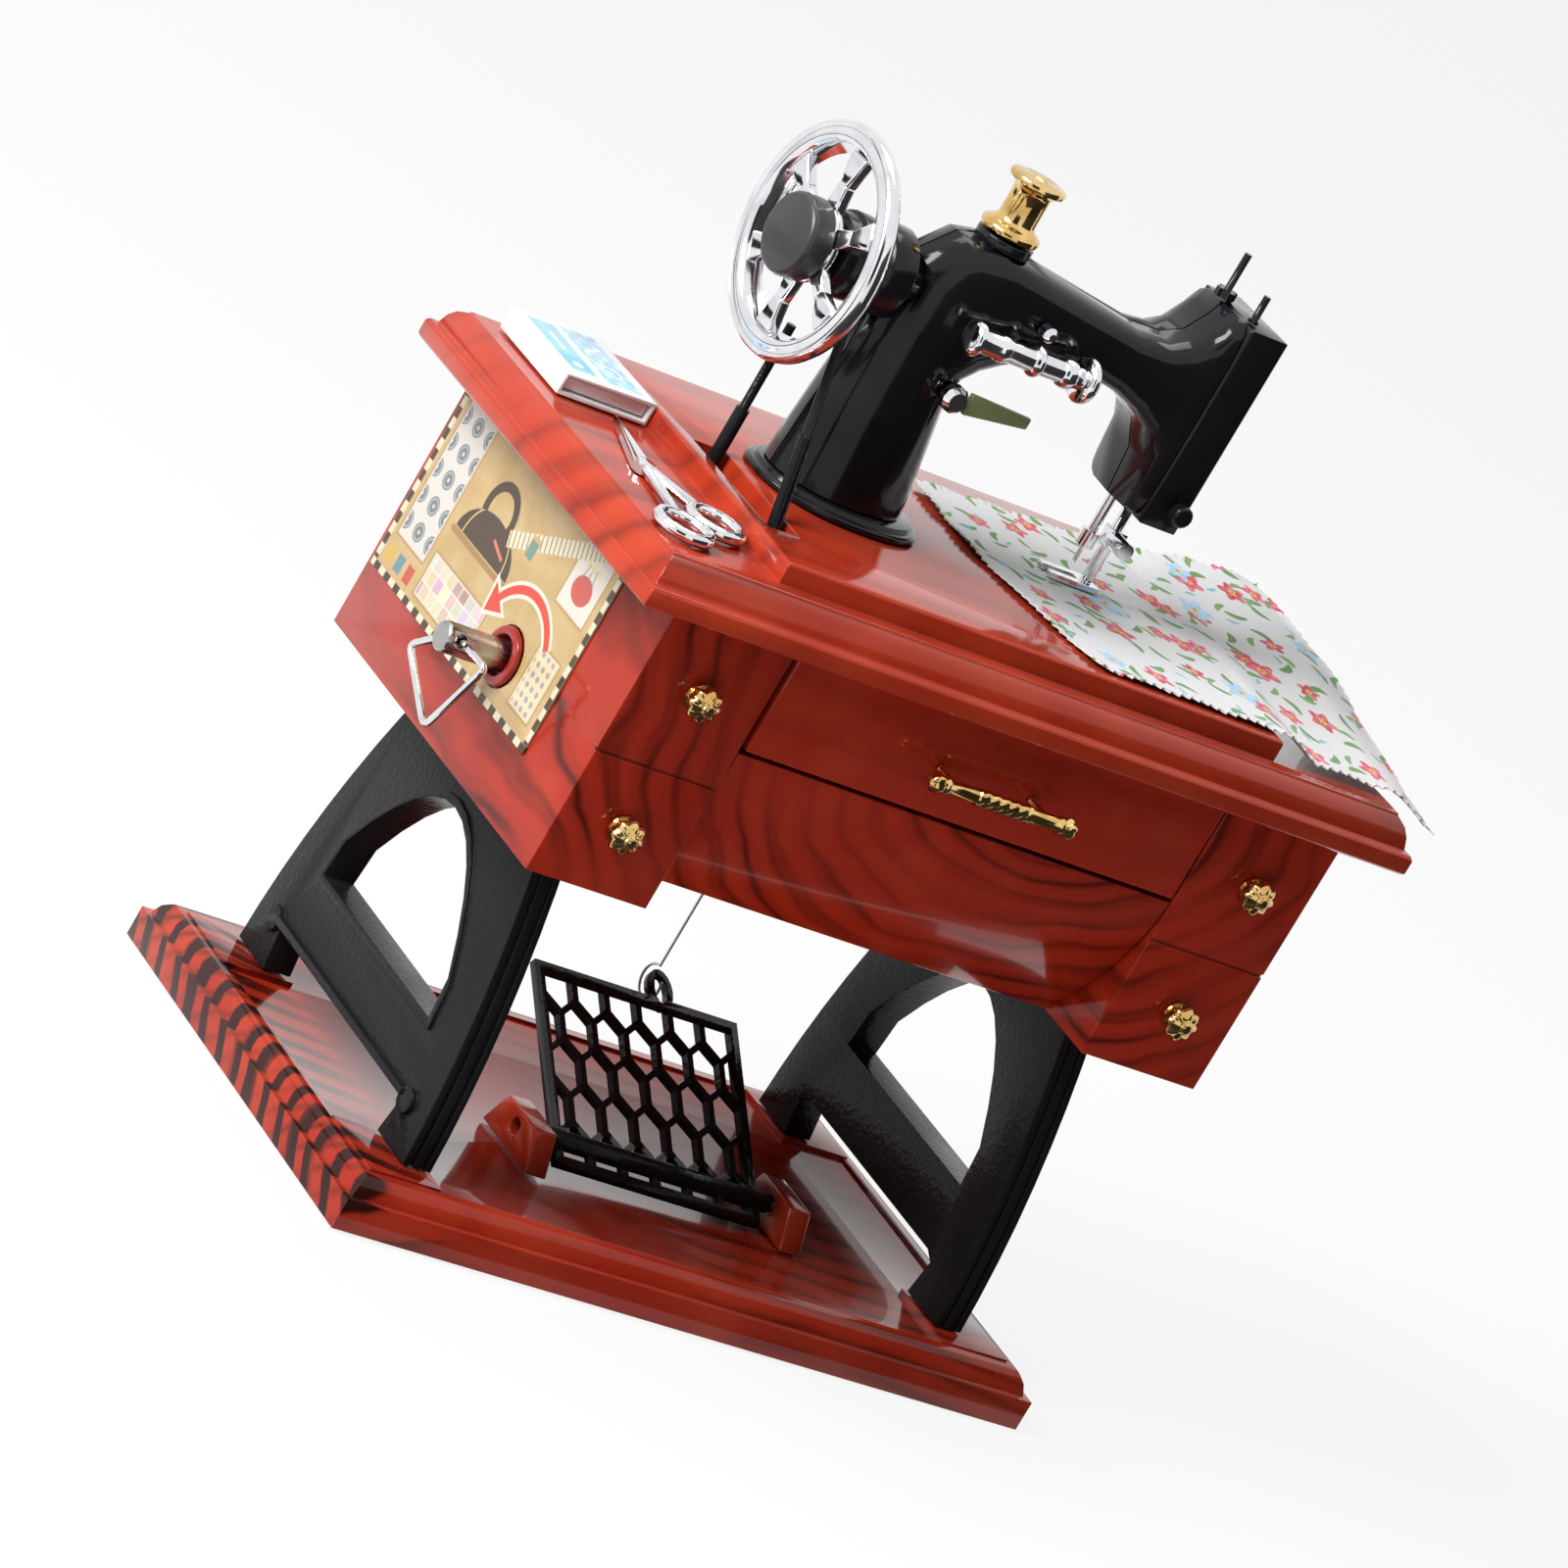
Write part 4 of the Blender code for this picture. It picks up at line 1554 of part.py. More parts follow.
def build_cloth():
    bm = bmesh.new()
    layers = []
    for rise in (0, CLOTH_THICKNESS):
        rows = []
        for j in range(CLOTH_ROWS + 1):
            v = j / CLOTH_ROWS
            row = []
            for i in range(CLOTH_COLUMNS + 1):
                u = i / CLOTH_COLUMNS
                rear = CLOTH_REAR_LEFT_Y + (CLOTH_REAR_RIGHT_Y - CLOTH_REAR_LEFT_Y) * min(u * 1.3, 1)
                tooth = CLOTH_TOOTH * (1 if (i + j) % 2 else -1)
                left = CLOTH_FRONT_LEFT_X + (CLOTH_REAR_LEFT_X - CLOTH_FRONT_LEFT_X) * v
                left -= CLOTH_LEFT_BULGE * math.sin(math.pi * v)
                right = CLOTH_RIGHT_X + (CLOTH_REAR_RIGHT_X - CLOTH_RIGHT_X) * v
                x = left + (right - left) * u + tooth * (i in (0, CLOTH_COLUMNS))
                y = CLOTH_FRONT_Y + (rear - CLOTH_FRONT_Y) * v + tooth * (j in (0, CLOTH_ROWS))
                row.append(bm.verts.new((x, y, cloth_height(x, y) + rise)))
            rows.append(row)
        layers.append(rows)
    under, over = layers
    for j in range(CLOTH_ROWS):
        for i in range(CLOTH_COLUMNS):
            for rows in layers:
                bm.faces.new((rows[j][i], rows[j][i + 1], rows[j + 1][i + 1], rows[j + 1][i]))
    rim = [(0, i) for i in range(CLOTH_COLUMNS)] + [(j, CLOTH_COLUMNS) for j in range(CLOTH_ROWS)]
    rim += [(CLOTH_ROWS, i) for i in range(CLOTH_COLUMNS, 0, -1)] + [(j, 0) for j in range(CLOTH_ROWS, 0, -1)]
    for (j, i), (jj, ii) in zip(rim, rim[1:] + rim[:1]):
        bm.faces.new((under[j][i], under[jj][ii], over[jj][ii], over[j][i]))
    as_object("sewn_cloth", bm, CLOTH)


def main():
    build_base()
    build_foot_screws()
    build_leg("leg_frame_left", -LEG_CENTRE_X)
    build_leg("leg_frame_right", LEG_CENTRE_X)
    build_treadle()
    build_bearing_block("treadle_bearing_left", -1)
    build_bearing_block("treadle_bearing_right", 1)
    build_pull_wire()
    build_cabinet()
    build_cabinet_floor()
    build_apron()
    build_drawer()
    build_handle()
    build_knobs()
    build_label()
    build_bush()
    build_key()
    build_movement()
    build_tabletop()
    build_needle_sleeve()
    build_scissors()
    build_flange()
    build_shell("machine_front_shell", -1)
    build_shell("machine_rear_shell", 1)
    build_face_cover()
    build_thread_pins()
    build_wheel()
    build_boss()
    build_rods()
    build_spool()
    build_winder()
    build_needle_bar()
    build_presser_foot()
    build_cloth()


main()
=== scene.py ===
import bpy
import json
import math
from mathutils import Matrix, Vector


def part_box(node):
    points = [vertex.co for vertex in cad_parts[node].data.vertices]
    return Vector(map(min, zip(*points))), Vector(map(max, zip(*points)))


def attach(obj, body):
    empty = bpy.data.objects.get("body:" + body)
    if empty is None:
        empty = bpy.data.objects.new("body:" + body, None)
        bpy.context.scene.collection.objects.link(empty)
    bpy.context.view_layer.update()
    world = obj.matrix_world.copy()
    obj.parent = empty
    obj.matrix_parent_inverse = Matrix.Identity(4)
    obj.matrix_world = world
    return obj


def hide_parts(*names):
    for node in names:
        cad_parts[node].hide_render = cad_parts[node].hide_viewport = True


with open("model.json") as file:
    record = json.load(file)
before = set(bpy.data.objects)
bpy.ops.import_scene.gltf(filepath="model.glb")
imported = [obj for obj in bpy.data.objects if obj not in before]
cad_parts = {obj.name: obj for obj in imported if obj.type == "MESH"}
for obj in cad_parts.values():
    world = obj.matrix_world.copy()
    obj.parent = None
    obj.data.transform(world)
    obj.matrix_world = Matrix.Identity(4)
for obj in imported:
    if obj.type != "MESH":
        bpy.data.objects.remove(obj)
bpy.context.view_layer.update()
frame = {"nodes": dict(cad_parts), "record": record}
NODES = frame["nodes"]
BODY_OF = {node: body for body, members in frame["record"]["behaviour"]["bodies"].items() for node in members}


# Camera, as the photograph was taken
CAMERA_PLACE = Vector((-0.77308, -1.01658, 0.43148))
CAMERA_AIM = Vector((0.58063657, 0.76758329, -0.27143521))
CAMERA_ROLL = math.radians(30.61)
CAMERA_LENS = 202.907


def set_camera():
    aim = CAMERA_AIM.normalized()
    level_right = aim.cross(Vector((0, 0, 1))).normalized()
    level_up = level_right.cross(aim)
    right = level_right * math.cos(CAMERA_ROLL) + level_up * math.sin(CAMERA_ROLL)
    up = right.cross(aim)
    camera = bpy.data.objects.new("camera", bpy.data.cameras.new("camera"))
    camera.data.lens = CAMERA_LENS
    camera.data.sensor_width = 36
    camera.data.clip_start, camera.data.clip_end = 0.05, 20
    camera.matrix_world = Matrix.Translation(CAMERA_PLACE) @ Matrix(
        ((right.x, up.x, -aim.x), (right.y, up.y, -aim.y), (right.z, up.z, -aim.z))).to_4x4()
    bpy.context.scene.collection.objects.link(camera)
    bpy.context.scene.camera = camera


# Shader maths with plain operators
class Mark:
    """A number that changes over a surface; operators on it add their Math nodes."""

    def __init__(self, shop, socket):
        self.shop = shop
        self.socket = socket

    def _math(self, operation, *values):
        return self.shop.add("Math", {"operation": operation}, dict(enumerate(values)))[0]

    def __add__(self, other):
        return self._math("ADD", self, other)

    def __radd__(self, other):
        return self._math("ADD", other, self)

    def __sub__(self, other):
        return self._math("SUBTRACT", self, other)

    def __rsub__(self, other):
        return self._math("SUBTRACT", other, self)

    def __mul__(self, other):
        return self._math("MULTIPLY", self, other)

    def __rmul__(self, other):
        return self._math("MULTIPLY", other, self)

    def __truediv__(self, other):
        return self._math("DIVIDE", self, other)

    def __pow__(self, other):
        return self._math("POWER", self, other)

    def __neg__(self):
        return self._math("MULTIPLY", self, -1)

    def __abs__(self):
        return self._math("ABSOLUTE", self)

    def sine(self):
        return self._math("SINE", self)

    def floor(self):
        return self._math("FLOOR", self)

    def part(self):
        return self._math("FRACT", self)

    def root(self):
        return self._math("SQRT", self)

    def lesser(self, other):
        return self._math("MINIMUM", self, other)

    def greater(self, other):
        return self._math("MAXIMUM", self, other)

    def below(self, edge, soft=0.0):
        """1 where the value is under the edge, 0 over it, with a soft step between."""
        return 1 - self.above(edge, soft)

    def above(self, edge, soft=0.0):
        if not soft:
            return self._math("GREATER_THAN", self, edge)
        return self.ramp(edge - soft, edge + soft)

    def ramp(self, low, high, start=0.0, end=1.0):
        settings = {"interpolation_type": "SMOOTHSTEP"}
        values = {"Value": self, "From Min": low, "From Max": high, "To Min": start, "To Max": end}
        return self.shop.add("MapRange", settings, values)[0]


class Finish:
    """One material and the nodes that give it its look."""

    def __init__(self, name, color, roughness, metallic=0.0, **sockets):
        self.material = bpy.data.materials.new(name)
        self.material.use_nodes = True
        self.tree = self.material.node_tree
        self.surface = self.tree.nodes["Principled BSDF"]
        self.surface.inputs["Base Color"].default_value = (*color, 1)
        self.surface.inputs["Roughness"].default_value = roughness
        self.surface.inputs["Metallic"].default_value = metallic
        for socket, value in sockets.items():
            self.surface.inputs[socket.replace("_", " ")].default_value = value

    def put(self, node_socket, value):
        if isinstance(value, Mark):
            self.tree.links.new(value.socket, node_socket)
        elif isinstance(value, (tuple, list)) and len(value) == 3 and node_socket.type == "RGBA":
            node_socket.default_value = (*value, 1)
        else:
            node_socket.default_value = value

    def add(self, kind, settings=None, values=None):
        """Add one node, give it its settings and then its sockets, and return its outputs."""
        node = self.tree.nodes.new("ShaderNode" + kind)
        for name, value in (settings or {}).items():
            setattr(node, name, value)
        for name, value in (values or {}).items():
            self.put(node.inputs[name], value)
        return [Mark(self, socket) for socket in node.outputs if socket.enabled]

    def place(self):
        """Object coordinates in metres as one vector and as three numbers."""
        coordinates = self.tree.nodes.new("ShaderNodeTexCoord")
        vector = Mark(self, coordinates.outputs["Object"])
        return vector, *self.add("SeparateXYZ", {}, {0: vector})

    def vector(self, x, y, z):
        return self.add("CombineXYZ", {}, {0: x, 1: y, 2: z})[0]

    def noise(self, vector, scale, detail=3.0, distortion=0.0, roughness=0.5):
        return self.add("TexNoise", {}, {"Vector": vector, "Scale": scale, "Detail": detail,
                                         "Roughness": roughness, "Distortion": distortion})[0]

    def blend(self, share, first, second):
        node = self.tree.nodes.new("ShaderNodeMix")
        node.data_type = "RGBA"
        for name, value in (("Factor", share), ("A", first), ("B", second)):
            usable = [s for s in node.inputs if s.name == name and s.enabled]
            self.put(usable[-1] if name != "Factor" else usable[0], value)
        return Mark(self, [s for s in node.outputs if s.enabled][0])

    def paint(self, color=None, roughness=None, metallic=None, coat=None, alpha=None):
        wanted = {"Base Color": color, "Roughness": roughness, "Metallic": metallic, "Coat Weight": coat,
                  "Alpha": alpha}
        for name, value in wanted.items():
            if value is not None:
                self.put(self.surface.inputs[name], value)

    def bump(self, height, depth, strength=1.0):
        normal = self.add("Bump", {}, {"Height": height, "Distance": depth, "Strength": strength})[0]
        self.put(self.surface.inputs["Normal"], normal)


# Finishes
DEEP_RED = (0.330, 0.021, 0.008)
WARM_RED = (0.460, 0.048, 0.016)
GRAIN_DARK = (0.050, 0.004, 0.002)
STRIPE_DARK = (0.018, 0.003, 0.002)
RED_COAT = {"Coat_Weight": 0.6, "Coat_Roughness": 0.02, "Coat_IOR": 1.25, "Specular_IOR_Level": 0.2}


def grained_red(name, centre, stretch, spacing, darkness, warmth=0.0, wave=0.004, breadth=0.5, seed=0.0):
    """Glossy red plastic printed with wood grain: rings round a far line, bent by slow noise."""
    finish = Finish(name, DEEP_RED, 0.14, **RED_COAT)
    where, x, y, z = finish.place()
    slow = finish.noise(finish.vector(x + seed, y, z * 1.6), 26, 2.0) - 0.5
    fine = finish.noise(where, 240, 3.0) - 0.5
    dx, dy, dz = (x - centre[0]) * stretch[0], (y - centre[1]) * stretch[1], (z - centre[2]) * stretch[2]
    rings = (dx * dx + dy * dy + dz * dz).root() + slow * wave + fine * (wave * 0.06)
    turn = rings * (2 * math.pi / spacing)
    broad = turn.sine() * 0.5 + 0.5
    narrow = (turn * 2.37 + slow * 9).sine() * 0.5 + 0.5
    streak = (broad ** 2.2) * (1 - breadth) + (broad * narrow) * breadth
    patch = finish.noise(finish.vector(x * 0.7 + seed, y, z), 34, 2.0).ramp(0.34, 0.66)
    dark = (streak * (patch * 0.75 + 0.25) * darkness).lesser(0.96)
    warm = finish.noise(where, 55, 2.0).ramp(0.3, 0.75) * 0.55 + warmth
    color = finish.blend(dark, finish.blend(warm.lesser(1.0).greater(0.0), DEEP_RED, WARM_RED), GRAIN_DARK)
    finish.paint(color=color, roughness=finish.noise(where, 90, 2.0).ramp(0.2, 0.8, 0.12, 0.22))
    finish.bump(finish.noise(where, 420, 2.0), 0.00002, 0.25)
    return finish.material


def striped_red(name):
    """The base's print: strong black stripes over its left end, fading to fine wavy grain."""
    finish = Finish(name, DEEP_RED, 0.14, **RED_COAT)
    where, x, y, z = finish.place()
    slow = finish.noise(where, 20, 2.0) - 0.5
    fine = finish.noise(where, 150, 3.0) - 0.5
    slant = y * 0.93 - z * 0.62 + x * 0.22 + slow * 0.010 + fine * 0.0016
    turn = slant * (2 * math.pi / 0.0058)
    stripes = (turn.sine() + (turn * 1.73 + 2.1).sine() * 0.45 + 0.25).ramp(-0.1, 0.75)
    lengthwise = (z * 1.0 + y * 0.9 + slow * 0.012 + x * 0.05) * (2 * math.pi / 0.0052)
    grain = (lengthwise.sine() * 0.5 + 0.5) ** 3.0 * (finish.noise(where, 30, 2.0).ramp(0.35, 0.7))
    left_end = x.below(-0.050, 0.012)
    dark = (stripes * left_end * 0.97).greater(grain * 0.62)
    warm = finish.noise(where, 45, 2.0).ramp(0.3, 0.75) * 0.6
    color = finish.blend(dark, finish.blend(warm, DEEP_RED, WARM_RED), STRIPE_DARK)
    finish.paint(color=color, roughness=finish.noise(where, 90, 2.0).ramp(0.2, 0.8, 0.10, 0.20))
    finish.bump(finish.noise(where, 420, 2.0), 0.00002, 0.25)
    return finish.material


def cast_black(name, grain=0.00006, size=900, gloss=0.34):
    finish = Finish(name, (0.010, 0.010, 0.011), gloss, Specular_IOR_Level=0.13)
    where = finish.place()[0]
    pits = finish.noise(where, size, 2.0).ramp(0.35, 0.75)
    patch = finish.noise(where, 60, 2.0)
    finish.paint(color=finish.blend(patch, (0.007, 0.007, 0.008), (0.016, 0.016, 0.019)),
                 roughness=patch.ramp(0.3, 0.7, gloss - 0.07, gloss + 0.09))
    finish.bump(pits, grain, 0.8)
    return finish.material


def gloss_black(name):
    finish = Finish(name, (0.008, 0.008, 0.009), 0.12, Coat_Weight=0.4, Coat_Roughness=0.06, Coat_IOR=1.25,
                    Specular_IOR_Level=0.2)
    where = finish.place()[0]
    swirl = finish.noise(where, 70, 3.0)
    finish.paint(color=finish.blend(swirl, (0.006, 0.006, 0.007), (0.013, 0.013, 0.016)),
                 roughness=swirl.ramp(0.3, 0.7, 0.08, 0.18))
    finish.bump(finish.noise(where, 160, 2.0), 0.00004, 0.18)
    return finish.material


def plated(name, bright, shade, smooth=0.06, dents=0.00003):
    """Plating over moulded plastic: bright, with soft dents and faint clouding."""
    finish = Finish(name, bright, smooth, 1.0)
    where = finish.place()[0]
    cloud = finish.noise(where, 260, 3.0)
    finish.paint(color=finish.blend(cloud.ramp(0.3, 0.75), shade, bright),
                 roughness=cloud.ramp(0.25, 0.75, smooth, smooth + 0.10))
    finish.bump(finish.noise(where, 330, 1.0), dents, 0.5)
    return finish.material


def brushed(name, bright, shade, rough=0.32):
    finish = Finish(name, bright, rough, 1.0)
    x, y, z = finish.place()[1:]
    lines = finish.noise(finish.vector(x * 1.0, y * 9.0, z * 9.0), 300, 3.0)
    finish.paint(color=finish.blend(lines, shade, bright),
                 roughness=lines.ramp(0.3, 0.7, rough - 0.08, rough + 0.1))
    finish.bump(lines, 0.00001, 0.5)
    return finish.material


def plain_plastic(name, color, second, rough):
    finish = Finish(name, color, rough, Coat_Weight=0.2, Coat_Roughness=0.1)
    where = finish.place()[0]
    cloud = finish.noise(where, 120, 3.0)
    finish.paint(color=finish.blend(cloud, color, second),
                 roughness=cloud.ramp(0.3, 0.7, rough - 0.05, rough + 0.07))
    finish.bump(finish.noise(where, 700, 2.0), 0.00002, 0.3)
    return finish.material


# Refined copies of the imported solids
def deselect():
    for item in bpy.context.selected_objects:
        item.select_set(False)


def hold(item):
    deselect()
    item.select_set(True)
    bpy.context.view_layer.objects.active = item


def dress(item, node, material, smooth=30):
    """Give a finished piece its finish, shading and body, and let it stand for its node."""
    item.data.materials.clear()
    item.data.materials.append(material)
    hold(item)
    bpy.ops.object.shade_smooth_by_angle(angle=math.radians(smooth))
    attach(item, BODY_OF[node])
    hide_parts(node)
    return item


def merged_copy(node, name):
    """A copy of a node's solid with its loose triangles joined into one skin of flat faces."""
    item = NODES[node].copy()
    item.data = NODES[node].data.copy()
    item.name = name
    for key in list(item.keys()):
        if key.startswith("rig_"):
            del item[key]
    item.parent = None
    item.matrix_world = Matrix.Identity(4)
    bpy.context.scene.collection.objects.link(item)
    hold(item)
    bpy.ops.object.mode_set(mode="EDIT")
    bpy.ops.mesh.select_all(action="SELECT")
    bpy.ops.mesh.remove_doubles(threshold=0.000004)
    if node != "treadle":
        bpy.ops.mesh.dissolve_limited(angle_limit=math.radians(0.6))
    bpy.ops.object.mode_set(mode="OBJECT")
    for attribute in [a.name for a in item.data.attributes if a.name in ("sharp_face", "sharp_edge")]:
        item.data.attributes.remove(item.data.attributes[attribute])
    return item


def round_edges(item, width, segments=2, angle=32):
    if width:
        bevel = item.modifiers.new("rounded edges", "BEVEL")
        bevel.width = width
        bevel.segments = segments
        bevel.limit_method = "ANGLE"
        bevel.angle_limit = math.radians(angle)
        bevel.use_clamp_overlap = True
        bevel.miter_outer = "MITER_ARC"
        hold(item)
        bpy.ops.object.modifier_apply(modifier=bevel.name)
    return item


def refined(node, material, width=0.0002, segments=2, smooth=35, angle=32):
    item = merged_copy(node, node + "_finished")
    round_edges(item, width, segments, angle)
    return dress(item, node, material, smooth)


# Studio
LAMP_AIM = (0, 0, 0.08)
FILL_STRENGTH = 0.10
FLOOR_Z = -0.0004
FLOOR_GLOW = 0.86


def soft_lamp(name, place, aim, size, power, color=(1, 1, 1)):
    lamp = bpy.data.objects.new(name, bpy.data.lights.new(name, "AREA"))
    lamp.data.shape = "RECTANGLE"
    lamp.data.size, lamp.data.size_y = size
    lamp.data.energy = power
    lamp.data.color = color
    lamp.location = place
    lamp.rotation_mode = "QUATERNION"
    lamp.rotation_quaternion = (Vector(aim) - Vector(place)).to_track_quat("-Z", "Y")
    bpy.context.scene.collection.objects.link(lamp)
    return lamp


def dark_card(name, place, aim, size):
    """A black card beside the object that only its gloss and plating show."""
    deselect()
    bpy.ops.mesh.primitive_plane_add(size=1, location=(0, 0, 0))
    card = bpy.context.object
    card.name = name
    turn = (Vector(aim) - Vector(place)).to_track_quat("Z", "Y").to_matrix().to_4x4()
    card.data.transform(Matrix.Translation(place) @ turn @ Matrix.Diagonal((size[0], size[1], 1, 1)))
    card.data.materials.append(Finish(name, (0.010, 0.010, 0.010), 0.9).material)
    card.visible_camera = False
    card.visible_diffuse = False
    card.visible_shadow = False
    card.visible_transmission = False


def build_studio():
    bpy.context.scene.view_settings.view_transform = "Standard"
    world = bpy.data.worlds.new("studio")
    bpy.context.scene.world = world
    world.use_nodes = True
    tree = world.node_tree
    rays = tree.nodes.new("ShaderNodeLightPath")
    most = tree.nodes.new("ShaderNodeMath")
    most.operation = "MAXIMUM"
    most_of_all = tree.nodes.new("ShaderNodeMath")
    most_of_all.operation = "MAXIMUM"
    tree.links.new(rays.outputs["Is Camera Ray"], most.inputs[0])
    tree.links.new(rays.outputs["Is Glossy Ray"], most.inputs[1])
    tree.links.new(most.outputs[0], most_of_all.inputs[0])
    tree.links.new(rays.outputs["Is Transmission Ray"], most_of_all.inputs[1])
    strength = tree.nodes.new("ShaderNodeMapRange")
    strength.inputs["To Min"].default_value = FILL_STRENGTH
    strength.inputs["To Max"].default_value = 1.0
    tree.links.new(most_of_all.outputs[0], strength.inputs["Value"])
    background = tree.nodes["Background"]
    background.inputs["Color"].default_value = (1, 1, 1, 1)
    tree.links.new(strength.outputs["Result"], background.inputs["Strength"])
    soft_lamp("key_light", (-0.80, -0.05, 0.70), LAMP_AIM, (0.5, 0.5), 16.0)
    soft_lamp("front_light", (0.15, -0.9, 0.45), LAMP_AIM, (0.6, 0.35), 0.12)
    soft_lamp("top_light", (0.1, 0.25, 0.9), LAMP_AIM, (0.5, 0.4), 2.6)
    dark_card("right_card", (0.26, -0.36, 0.14), (0.0, 0.0, 0.10), (0.60, 0.42))
    dark_card("low_card", (0.10, -0.275, 0.001), (0.10, -0.275, 1.0), (0.76, 0.46))
    dark_card("wheel_card", (-0.145, 0.12, 0.106), (-0.05, 0.0, 0.15), (0.11, 0.016))
    dark_card("camera_card", (-0.46, -0.61, 0.36), (0.0, 0.0, 0.10), (0.42, 0.50))


def build_floor():
    deselect()
    bpy.ops.mesh.primitive_plane_add(size=4, location=(0, 0, FLOOR_Z))
    floor = bpy.context.object
    floor.name = "floor"
    finish = Finish("pale_floor", (0.86, 0.86, 0.86), 0.9)
    rays = finish.tree.nodes.new("ShaderNodeLightPath")
    seen = Mark(finish, rays.outputs["Is Camera Ray"]).greater(Mark(finish, rays.outputs["Is Glossy Ray"]))
    glow = finish.tree.nodes.new("ShaderNodeEmission")
    glow.inputs["Strength"].default_value = 1.0
    mix = finish.tree.nodes.new("ShaderNodeMixShader")
    output = finish.tree.nodes["Material Output"]
    finish.tree.links.new((seen * FLOOR_GLOW).socket, mix.inputs[0])
    finish.tree.links.new(finish.surface.outputs[0], mix.inputs[1])
    finish.tree.links.new(glow.outputs[0], mix.inputs[2])
    finish.tree.links.new(mix.outputs[0], output.inputs["Surface"])
    floor.data.materials.append(finish.material)


# Printed papers
def disc(u, v, centre_u, centre_v, radius, soft=0.00012, squash=1.0):
    across, along = u - centre_u, (v - centre_v) * squash
    return (across * across + along * along).root().below(radius, soft)


def bar(u, v, centre_u, centre_v, half_u, half_v, soft=0.0001, turn=0.0):
    across, along = u - centre_u, v - centre_v
    if turn:
        cosine, sine = math.cos(turn), math.sin(turn)
        across, along = across * cosine + along * sine, along * cosine - across * sine
    return abs(across).below(half_u, soft) * abs(along).below(half_v, soft)


def ring(u, v, centre_u, centre_v, radius, width, soft=0.0001):
    across, along = u - centre_u, v - centre_v
    return abs((across * across + along * along).root() - radius).below(width / 2, soft)


LABEL_AGE, LABEL_TINT = 0.42, (0.10, 0.05, 0.01)
TAPE_LEAN = -0.42
ARROW_RADIUS = 0.0101
ARROW_HEAD_ANGLE, ARROW_TAIL_ANGLE = 0.55, 2.55


